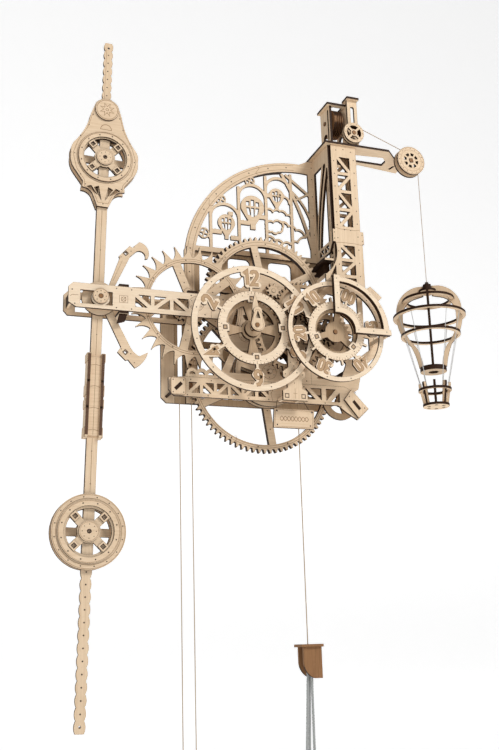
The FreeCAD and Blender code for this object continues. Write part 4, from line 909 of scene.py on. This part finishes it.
@dataclass
class FrameMarks:
    """Pin dots and engraved lines of the fixed plates."""

    fin: Finishes

    def build(self) -> None:
        """Cut the marks of every fixed plate."""
        self.arch()
        self.beams()
        self.tower()
        self.front()

    def arch(self) -> None:
        """Two lines along the arch band, joints and pins, and the lines of the posts."""
        lines, marks = pair("arch")
        for r in (141.2, 147.6):
            lines.line(np.vstack([[[ARCH[0] - r, 30.0]], arc(ARCH, r, 180, 92, 60)]), 0.45)
        marks.dots([polar(ARCH, 144.4, a) for a in (96, 106, 117, 128, 139, 150, 161, 172)], 0.85)
        marks.dots([(-55.3, z) for z in (84, 60, 36, 2, -30, -60)], 0.85)
        for a in (112, 145):
            lines.line([polar(ARCH, 138.3 + 12.0 * t, a + 1.4 * math.sin(6.28 * t))
                        for t in np.linspace(0, 1, 12)], 0.4)
        marks.dots([(108.5, z) for z in (124, 150, 176, 202, 226, 242)], 0.7)
        lines.line([(96, 152), (99, 158), (103, 163)], 0.4)
        self.fin.cut("frame", lines, marks)

    def beams(self) -> None:
        """The long beam with its pivot cover and the square ornament."""
        lines, marks = pair("beam")
        square = (-142, 29.8)
        lines.box(square, 9.4, 8.0, 0, 0.4)
        lines.ring(square, 2.6, 0.5, 20)
        for k in range(4):
            lines.line([polar(square, r, 45 + 90 * k) for r in (0.6, 3.6)], 0.5)
        marks.dots([(-199, 36), (-196, 20), (-150, 41.5), (-150, 19.2), (-133, 41.5), (-133, 19),
                    (-64, 41.6), (-64, 19.2), (-48, 41), (-48, 20), (-34, 30)], 0.75)
        lines.line([(-40.5, 16.8), (-40.5, 24), (-37, 27), (-40.5, 31), (-40.5, 44.2)], 0.4)
        lines.line([(-201, 28), (-199, 30), (-192, 30)], 0.4)
        marks.dots([(-86, -74), (-70, -74.6), (-46, -74.6), (-22, -74.6), (2, -74.6), (26, -74.6), (46, -74),
                    (66, -74), (96, -75), (116, -78), (-66, -57), (-42, -57), (-18, -57), (6, -57),
                    (30, -57), (52, -57), (70, -57)], 0.7)
        lines.line([(30, -54.5), (32, -62), (29, -68), (31, -76.5)], 0.4)
        self.fin.cut("frame", lines, marks)
        corner, pins = pair("corner")
        corner.box((-81, -66), 16.0, 18.0, 0, 0.35)
        pins.dots([(-87, -73), (-75, -73), (-87, -59), (-75, -59), (126, -66), (132, -87), (145, -79),
                   (134, -61)], 0.7)
        pins.box((-81, -66), 10.2, 3.5, 45, 0.5)
        pins.box((135, -76), 12.2, 3.5, -50, 0.5)
        self.fin.cut("frame", corner, pins)
        disc, hub = pair("pivot_cover")
        disc.ring(PIVOT, 8.2, 0.3, 40)
        hub.dots([polar(PIVOT, 6.0, 45 * k) for k in range(8)], 0.55)
        hub.ring(PIVOT, 2.6, 0.5, 24)
        self.fin.cut("frame", disc, hub)

    def tower(self) -> None:
        """Pins of the tower front and the splice."""
        lines, marks = pair("tower")
        for z in np.arange(76, 246, 17.0):
            marks.dots([(116.4, z), (143.4, z + 4)], 0.7)
        marks.dots([(112, 134), (112, 126), (149, 134), (149, 126), (104, 74), (126, 138.5), (134, 138.5)],
                   0.7)
        marks.dots([(120, 244), (130, 246), (140, 244)], 0.7)
        lines.line([(113.2, 140.5), (120, 139), (140, 139), (146.8, 140.5)], 0.4)
        lines.line([(113.2, 120.5), (121, 121.5), (139, 121.5), (148.8, 120.5)], 0.4)
        self.fin.cut("frame", lines, marks)

    def front(self) -> None:
        """Window, pointer, strut and bracket marks."""
        win = Inlay("window_pins", FACES["window"], 0.0)
        win.dots([(96.5, 62), (96.5, 44), (96.5, 26), (121, 1.6), (140, 1.6), (157, 1.6),
                  polar(MINUTE, 59.8, 30), polar(MINUTE, 59.8, 48), polar(MINUTE, 59.8, 66)], 0.7)
        self.fin.cut("frame", pins=win)
        hand, eye = pair("pointer")
        tip = [[6.3, 12], [3.6, 18], [-0.6, 18], [-3.3, 12]]
        hand.loop(np.vstack([arc((1.5, 1.4), 7.0, 200, 340, 16), tip]), 0.3)
        eye.box((1.0, 0.4), 2.4, 4.0, 0, 0.6)
        self.fin.cut("frame", hand, eye)
        lines, marks = pair("strut")
        lines.ring((48.5, -50), 5.4, 0.4, 32)
        lines.line([(49, -78), (49, -66)], 0.35)
        lines.line([(46.5, -72), (51.5, -72)], 0.35)
        marks.dots([(38, -50), (59, -50), (48.5, -40), (48.5, -60), (44.5, -24), (52.5, -24), (44.5, -36),
                    (52.5, -36)], 0.6)
        marks.box((39, -75), 4.3, 4.3, 0, 0.8)
        marks.box((59, -75), 4.3, 4.3, 0, 0.8)
        self.fin.cut("frame", lines, marks)
        lines, marks = pair("centre_plate")
        for c in (CENTER, HOUR, GREAT, ESCAPE):
            lines.ring(c, 8.5, 0.4, 32)
            marks.dots([polar(c, 6.4, 60 * k + 30) for k in range(6)], 0.5)
        marks.dots([(-26, 40), (-12, 47), (8, 68), (20, 72), (48, 72), (60, 60), (74, 46), (76, 4),
                    (74, -50), (-24, -50), (-14, -16), (94, 66), (148, 64), (148, 24), (164, 8), (140, -40)],
                   0.75)
        self.fin.cut("frame", lines, marks)
        small = Inlay("guide_wheel_pins", FACES["guide_wheel"])
        small.dots([polar(GUIDE_WHEEL, 11.6, 36 * k) for k in range(10)], 0.5)
        self.fin.cut("guide", pins=small)
        rings, big = pair("crane_wheel")
        big.dots([polar(CRANE_WHEEL, 16.6, 22.5 * k) for k in range(16)], 0.55)
        big.box(CRANE_WHEEL, 5.0, 5.0, 10, 0.7)
        rings.ring(CRANE_WHEEL, 18.2, 0.3, 48)
        rings.ring(CRANE_WHEEL, 14.6, 0.3, 48)
        self.fin.cut("crane", pins=big)
        self.fin.cut("crane", rings)


@dataclass
class PendulumMarks:
    """Lines along the rod, sleeve and both bobs."""

    fin: Finishes

    def build(self) -> None:
        """Cut the lines of the pendulum and its bobs."""
        rod, pins = pair("rod")
        rod.line(lean([(0, 20), (0, 108)]), 0.45)
        rod.line(lean([(0, -22), (0, -64)]), 0.45)
        rod.line(lean([(0, -156), (0, -214)]), 0.45)
        pins.dots(lean([(0, 60), (0, -40), (0, -170), (0, -205)]), 0.6)
        self.fin.cut("pendulum", rod, pins)
        strip, holes = pair("strip")
        holes.dots(lean([(0, -296.3 - 12.62 * i) for i in range(13)]), 0.9)
        holes.dots(lean([(0, 256.4 + 10.86 * i) for i in range(6)]), 0.8)
        strip.line(lean([(-2.6, 252), (-2.6, 318)]), 0.3)
        self.fin.cut("pendulum", pins=holes)
        self.fin.cut("pendulum", strip)
        band = Inlay("sleeve_lines", FACES["sleeve"])
        for w in (-76, -100, -124, -148):
            band.line(lean([(-5.6, w), (0, w + 1.4), (5.6, w)]), 0.4)
        band.line(lean([(0, -67), (0, -153)]), 0.4)
        self.fin.cut("pendulum", band)
        ends_on = Inlay("sleeve_cut_edges", FACES["sleeve_ribs"], 0.05)
        for x in (-7.6, 7.6):
            for w0, w1 in ((-66.5, -95.0), (-96.0, -124.0), (-125.0, -153.5)):
                ends_on.line(lean([(x, w0 + 3.2), (x, w1)]), 3.3)
        ends_on.build("pendulum", self.fin.made["cut_edge"])
        arms, ends = pair("pallet")
        ends.dots([(-131.5, 91.5), (-128, 97.5), (-143, 83.4), (-131.5, -29.5), (-142, -24.8),
                   (-127.5, -39.5)], 0.6)
        ends.box((-137.5, 88.5), 4.2, 4.2, 45, 0.9)
        ends.box((-137.5, -28.0), 4.2, 4.2, 45, 0.9)
        arms.line([(-152.0, 54), (-141.5, 79)], 0.3)
        self.fin.cut("pendulum", arms, ends)
        self.bob("lower", "lower_weight", (0.0, LOWER_BOB), (38.2, 34.4), 36.2, 29.7, 10.9, 21.5)
        self.bob("upper", "upper_weight", (0.0, UPPER_BOB), (32.4,), 0.0, 28.1, 9.8, 20.5)
        self.ornament()

    def bob(self, name: str, body: str, c: Point, face_rings: tuple[float, ...], face_dots: float,
            ring_dots: float, hub: float, studs: float) -> None:
        """Rings and pins of one bob.

        Args:
            name: which bob.
            body: body that carries it.
            c: centre along the upright rod.
            face_rings: radii of the lines on the face.
            face_dots: radius of the pins on the face, or 0.
            ring_dots: radius of the pins on the wheel's ring.
            hub: radius of the hub.
            studs: radius of the square studs.
        """
        lines, pins = pair(name + "_bob")
        for r in face_rings:
            lines.loop(lean(arc(c, r, 0, 355, 72)), 0.4)
        if face_dots:
            pins.dots(lean([polar(c, face_dots, 22.5 * k + 11) for k in range(16)]), 0.7)
        self.fin.cut(body, lines, pins if face_dots else None)
        top, marks = pair(name + "_wheel")
        top.loop(lean(arc(c, ring_dots + 2.2, 0, 355, 72)), 0.35)
        top.loop(lean(arc(c, hub - 1.2, 0, 350, 36)), 0.3)
        marks.dots(lean([polar(c, ring_dots, 30 * k + 15) for k in range(12)]), 0.8)
        marks.dots(lean([polar(c, hub - 3.6, 45 * k) for k in range(8)]), 0.5)
        for a in (45, 135, 225, 315):
            marks.loop(lean([polar(polar(c, studs, a), 2.8, a + k) for k in (45, 135, 225, 315)]), 0.8)
        marks.loop(lean(arc(c, 2.0, 0, 330, 12)), 1.0)
        self.fin.cut(body, top, marks)

    def ornament(self) -> None:
        """Outline, fan and medal of the upper bob; the medal shows a plain eight-point star."""
        half = [(6.0, 116), (10.6, 127.5), (22.2, 134.4), (22.0, 141), (32.0, 155), (36.6, 173), (31.8, 189),
                (21.5, 208), (16.2, 227), (11.8, 240), (0.0, 245.6)]
        outline = half + [(-x, z) for x, z in reversed(half[:-1])]
        lines, pins = pair("upper_face")
        lines.loop(lean(outline), 0.4)
        side = ((34.8, 173), (29, 196), (20, 212), (15.5, 226), (27, 148), (20.8, 136.4))
        pins.dots(lean([(s * x, z) for s in (-1, 1) for x, z in side] + [(0, 115)]), 0.7)
        lines.loop(lean(arc((0.0, 209.0), 6.4, 0, 180, 14)), 0.6)
        self.fin.cut("upper_weight", lines, pins)
        medal = Inlay("medal_lines", FACES["medal"])
        c = (0.0, 234.0)
        medal.loop(lean(arc(c, 12.2, 0, 350, 40)), 0.5)
        medal.loop(lean([polar(c, 8.6 if k % 2 else 4.0, 22.5 * k) for k in range(16)]), 0.6)
        medal.loop(lean(arc(c, 1.6, 0, 320, 9)), 0.5)
        self.fin.cut("upper_weight", medal)


@dataclass
class SignMarks:
    """The small hanging board: a plain wave pattern and its four holes."""

    fin: Finishes

    def build(self) -> None:
        """Cut the ornament."""
        lines, pins = pair("sign")
        x = np.linspace(36.5, 71.5, 57)
        lines.line(np.stack([x, -97.2 + 2.6 * np.sin((x - 36.5) * 0.72)], axis=1), 0.6)
        lines.line(np.stack([x, -97.2 - 2.6 * np.sin((x - 36.5) * 0.72)], axis=1), 0.6)
        lines.loop([(31.6, -87.4), (77.4, -87.4), (76.0, -106.6), (30.0, -106.6)], 0.35)
        pins.dots([(33, -104.5), (73.5, -104.5), (33, -88.5), (76, -88.5)], 0.9)
        self.fin.cut("sign", lines, pins)


# ------------------------------------------------------------------ cords
@dataclass
class CordWork:
    """The free cords, all pulled straight: threads, the winding loop, the weight ropes and the rigging.

    Routes are in mm from the hour dial axis.
    """

    fin: Finishes

    def declare(self, obj: bpy.types.Object, body: str, nodes: Sequence[str]) -> None:
        """Ride a cord on its body and hide the solids that it stands for.

        Args:
            obj: the cord.
            body: the body that it moves with.
            nodes: CAD nodes that it replaces.
        """
        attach(obj, body)
        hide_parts(*nodes)

    def curve(self, name: str, points: np.ndarray, radius: float, mat: str,
              closed: bool = False) -> bpy.types.Object:
        """A round NURBS cord.

        Args:
            name: piece name.
            points: control points in metres.
            radius: half the thickness in mm.
            mat: finish.
            closed: whether the line returns to its start.

        Returns:
            The curve object, not yet riding.
        """
        data = bpy.data.curves.new(name, "CURVE")
        data.dimensions = "3D"
        data.bevel_depth = radius * MM
        data.bevel_resolution = 3
        data.resolution_u = 8
        data.use_fill_caps = not closed
        spline = data.splines.new("NURBS")
        spline.points.add(len(points) - 1)
        for target, point in zip(spline.points, points):
            target.co = (*point, 1.0)
        spline.order_u = 3
        spline.use_endpoint_u = not closed
        spline.use_cyclic_u = closed
        data.materials.append(self.fin.made[mat])
        return add_object(name, data)

    def laid(self, name: str, start: np.ndarray, end: np.ndarray, radius: float, strands: int, pitch: float,
             mat: str) -> tuple[bpy.types.Object, np.ndarray]:
        """A straight laid rope: strands wound side by side round its centreline.

        Args:
            name: piece name.
            start: upper end in metres.
            end: lower end in metres.
            radius: half the rope's thickness in mm.
            strands: how many strands.
            pitch: length of one turn in mm.
            mat: finish.

        Returns:
            The mesh object, not yet riding, and its centreline.
        """
        length = float(np.linalg.norm(end - start))
        along = (end - start) / length
        side = np.cross(along, (0.0, 1.0, 0.0))
        side /= np.linalg.norm(side)
        other = np.cross(along, side)
        per_turn, sides, lap = 12, 10, 1.08
        rings = int(per_turn * length / (pitch * MM)) + 2
        share = np.linspace(0.0, 1.0, rings)
        path = start + share[:, None] * (end - start)
        strand = radius * MM / (1.0 + 1.0 / math.sin(math.pi / strands)) * lap
        offset = radius * MM - strand
        verts, faces = [], []
        for k in range(strands):
            turn = 2 * math.pi * (share * length / (pitch * MM) + k / strands)
            out = np.cos(turn)[:, None] * side + np.sin(turn)[:, None] * other
            centre = path + offset * out
            around = 2 * math.pi * np.arange(sides) / sides
            flat = np.cross(along, out)
            loop = (centre[:, None, :] + strand * (np.cos(around)[None, :, None] * out[:, None, :]
                                                   + np.sin(around)[None, :, None] * flat[:, None, :]))
            base = len(verts)
            verts.extend(loop.reshape(-1, 3).tolist())
            faces += [(base + i * sides + j, base + i * sides + (j + 1) % sides,
                       base + (i + 1) * sides + (j + 1) % sides, base + (i + 1) * sides + j)
                      for i in range(rings - 1) for j in range(sides)]
            faces.append(tuple(base + j for j in reversed(range(sides))))
            faces.append(tuple(base + (rings - 1) * sides + j for j in range(sides)))
        obj = add_mesh(name, verts, faces, self.fin.made[mat])
        obj.data.polygons.foreach_set("use_smooth", [len(f) == 4 for f in faces])
        return obj, path

    def build(self) -> None:
        self.weight()
        self.winding()
        self.ropes()
        self.crane()
        self.rigging()

    def weight(self) -> None:
        """The thread from the drum's edge to the weight bracket."""
        top, low = place(WEIGHT_X, WEIGHT_Y, GREAT[1]), place(WEIGHT_X, WEIGHT_Y, BRACKET_TOP)
        route = np.array([top, (top + low) / 2, low])
        thread = self.curve("weight_cord", route, WEIGHT_R, "beige_thread")
        self.declare(thread, "frame", ("weight_thread",))

    def winding(self) -> None:
        """The thread that runs over the small pulley and under the pulley weight below."""
        (x, z), low, y, r = LOOP, LOOP_LOW, LOOP_Y, LOOP_R
        under_wrap = 160.0
        reach = r / math.cos(math.radians(22.5))
        over = [polar(LOOP, reach, a) for a in (157.5, 112.5, 67.5, 22.5)]
        under = [polar((x, low), reach, a) for a in (-22.5, -67.5, -112.5)]
        flat = [(x - r, low), (x - r, low + r), (x - r, z - r), *over, (x + r, z - r), (x + r, low + r),
                *under, polar((x, low), r, -under_wrap)]
        route = np.array([place(u, y, v) for u, v in flat])
        loop = self.curve("winding_cord", route, WINDING_R, "beige_thread")
        self.declare(loop, "frame", ("winding_loop",))

    def ropes(self) -> None:
        """Three laid ropes from the bracket's pin to the knot below."""
        knot = self.knot()
        for i, (x0, x1, y, z1) in enumerate(ROPES, 1):
            top, low = place(x0, y, ROPE_TOP), place(x1, y, z1)
            rope, path = self.laid(f"weight_rope_{i}", top, low, ROPE_R, 3, 9.0, "white_rope")
            self.declare(rope, "frame", ("weight_ropes",))

    def knot(self) -> bpy.types.Object:
        """An overhand knot of one rope, as a closed line wound twice round a ring.

        Returns:
            The knot, riding on the frame.
        """
        t = np.linspace(0.0, 2 * math.pi, 40, endpoint=False)
        mean_r, swell = 4.6, 2.0
        ring = mean_r + swell * np.cos(3 * t)
        points = np.stack([ring * np.cos(2 * t), swell * np.sin(3 * t), ring * np.sin(2 * t)], axis=1)
        route = place(*KNOT) + points * MM
        knot = self.curve("rope_knot", route, ROPE_R, "white_rope", closed=True)
        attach(knot, "frame")
        return knot

    def crane(self) -> None:
        """The lifting thread: from the guide wheel to the crane wheel, and down to the balloon."""
        route = np.array([place(*GUIDE_TOP), (place(*GUIDE_TOP) + place(*CRANE_TOP)) / 2, place(*CRANE_TOP)])
        thread = self.curve("crane_cord", route, CRANE_R, "beige_thread")
        self.declare(thread, "frame", ("crane_thread",))
        top, low = place(BALLOON[0], BALLOON[1], CRANE_WHEEL[1]), place(BALLOON[0], BALLOON[1], CAP_TOP)
        fall, path = self.laid("balloon_cord", top, low, CRANE_R, 2, 3.0, "beige_thread")
        self.declare(fall, "frame", ("balloon_thread",))
        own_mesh(fall)

    def rigging(self) -> None:
        """Two threads a quarter between the widest hoop and the basket's rim."""
        for i in range(8):
            turn = BALLOON_YAW + 90.0 * (i // 2) + (30.0, 60.0)[i % 2]
            ends = [place(*polar(BALLOON, r, turn), z) for r, z in (RIG_TOP, RIG_LOW)]
            route = np.array([ends[0], (ends[0] + ends[1]) / 2, ends[1]])
            thread = self.curve(f"rigging_{i + 1}", route, RIG_R, "white_thread")
            self.declare(thread, "balloon", ("rigging",))


# ------------------------------------------------------------------ stage, then everything in turn
@dataclass
class Studio:
    """Camera, backdrop and soft light."""

    azimuth: float = 20.5
    elevation: float = 15.2
    roll: float = -1.7
    lens: float = 48.0
    place: tuple[float, float, float] = (-0.407334, -1.067311, -0.569016)

    def build(self) -> None:
        """Make the camera, the stage and the lights."""
        az, el, ro = (math.radians(v) for v in (self.azimuth, self.elevation, self.roll))
        forward = np.array([math.sin(az) * math.cos(el), math.cos(az) * math.cos(el), math.sin(el)])
        right = np.array([math.cos(az), -math.sin(az), 0.0])
        up = np.cross(right, forward)
        c, s = math.cos(ro), math.sin(ro)
        right, up = c * right + s * up, -s * right + c * up
        data = bpy.data.cameras.new("camera")
        data.lens = self.lens
        data.sensor_fit = "VERTICAL"
        data.sensor_height = 36.0
        data.clip_end = 20.0
        cam = add_object("camera", data)
        cam.matrix_world = Matrix([[right[i], up[i], -forward[i], self.place[i]] for i in range(3)]
                                  + [[0, 0, 0, 1]])
        bpy.context.scene.camera = cam
        self.stage()
        self.lights()
        scene = bpy.context.scene
        scene.view_settings.view_transform = "Standard"
        scene.view_settings.look = "None"

    def stage(self) -> None:
        """A pale sweep: floor and wall joined by a quarter round, a profile carried along x."""
        radius, y_near, y_wall, z_floor, z_top, x_side = 1.5, -7.0, 7.0, -0.95, 7.0, 9.0
        turn = np.linspace(0.0, math.pi / 2, 17)
        bend = np.stack([y_wall - radius + radius * np.sin(turn), z_floor + radius - radius * np.cos(turn)],
                        axis=1)
        profile = np.vstack([[[y_near, z_floor]], bend, [[y_wall, z_top]]])
        grid = np.array([[(x, y, z) for y, z in profile] for x in (-x_side, 0.0, x_side)])
        n, m = grid.shape[:2]
        faces = [(i * m + j, (i + 1) * m + j, (i + 1) * m + j + 1, i * m + j + 1)
                 for i in range(n - 1) for j in range(m - 1)]
        paper = Finish("backdrop_paper")
        paper.hold("Base Color", (0.93, 0.93, 0.93, 1.0))
        paper.hold("Roughness", 0.9)
        paper.hold("Emission Color", (1.0, 1.0, 1.0, 1.0))
        paper.hold("Emission Strength", 0.55)
        sweep = add_mesh("backdrop", grid.reshape(-1, 3).tolist(), faces, paper.mat)
        sweep.data.polygons.foreach_set("use_smooth", [True] * len(faces))

    def lights(self) -> None:
        """A pale world, a key from the upper right and a weaker fill from the left."""
        world = bpy.data.worlds.new("studio")
        world.use_nodes = True
        back = world.node_tree.nodes["Background"]
        back.inputs["Color"].default_value = (1.0, 1.0, 1.0, 1.0)
        back.inputs["Strength"].default_value = 0.25
        bpy.context.scene.world = world
        for name, loc, aim, size, power in (
                ("key", (0.9, -1.7, 1.1), (0.0, 0.0, -0.2), 0.7, 34.0),
                ("fill", (-1.6, -1.6, 0.2), (0.0, 0.0, -0.2), 1.4, 4.5)):
            data = bpy.data.lights.new(name, "AREA")
            data.shape = "SQUARE"
            data.size = size
            data.energy = power
            lamp = add_object(name, data)
            z = np.array(loc) - np.array(aim)
            z /= np.linalg.norm(z)
            x = np.cross([0.0, 0.0, 1.0], z)
            x /= np.linalg.norm(x)
            y = np.cross(z, x)
            lamp.matrix_world = Matrix([[x[i], y[i], z[i], loc[i]] for i in range(3)] + [[0, 0, 0, 1]])


def build_marks(fin: Finishes) -> None:
    """Engrave every wheel, dial, plate and bob.

    Args:
        fin: the finishes.
    """
    wheels = (("great", GREAT, (83.8, 81.4), 62.0, 14.0, (40.0, 62.0)),
              ("center", CENTER, (69.6, 66.0), 30.0, 13.0, (34.0, 52.0)),
              ("escape", ESCAPE, (57.4, 55.0), 40.0, 13.0, (30.0, 42.0)))
    for wheel in wheels:
        WheelMarks(fin, *wheel).build()
    hours = tuple((t, 93.0 + 60.0 * i) for i, t in enumerate(("12", "2", "4", "6", "8", "10")))
    minutes = tuple((t, 68.0 + 60.0 * i) for i, t in enumerate(("00", "10", "20", "30", "40", "50")))
    DialMarks(fin, "hour_dial", "hour", HOUR, radii=(33.0, 42.9, 66.3, 73.4), labels=hours, text_r=58.5,
              scale=1.02, stroke=4.3, socket_r=34.5, sockets=(3.5, 93.5, 183.5, 273.5)).build()
    DialMarks(fin, "minute_dial", "minute", MINUTE, radii=(26.4, 35.3, 54.6, 60.0), labels=minutes,
              text_r=46.6, scale=0.80, stroke=3.4, socket_r=26.8, sockets=(79.0, 199.0, 319.0)).build()
    FrameMarks(fin).build()
    PendulumMarks(fin).build()
    SignMarks(fin).build()


def main() -> None:
    """Load the frame, finish every part, add the cords, the camera and the light."""
    logging.basicConfig(level=logging.INFO, format="%(message)s")
    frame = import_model()
    fin = Finishes()
    fin.dress(frame)
    build_marks(fin)
    CordWork(fin).build()
    Studio().build()


if __name__ == "__main__":
    main()
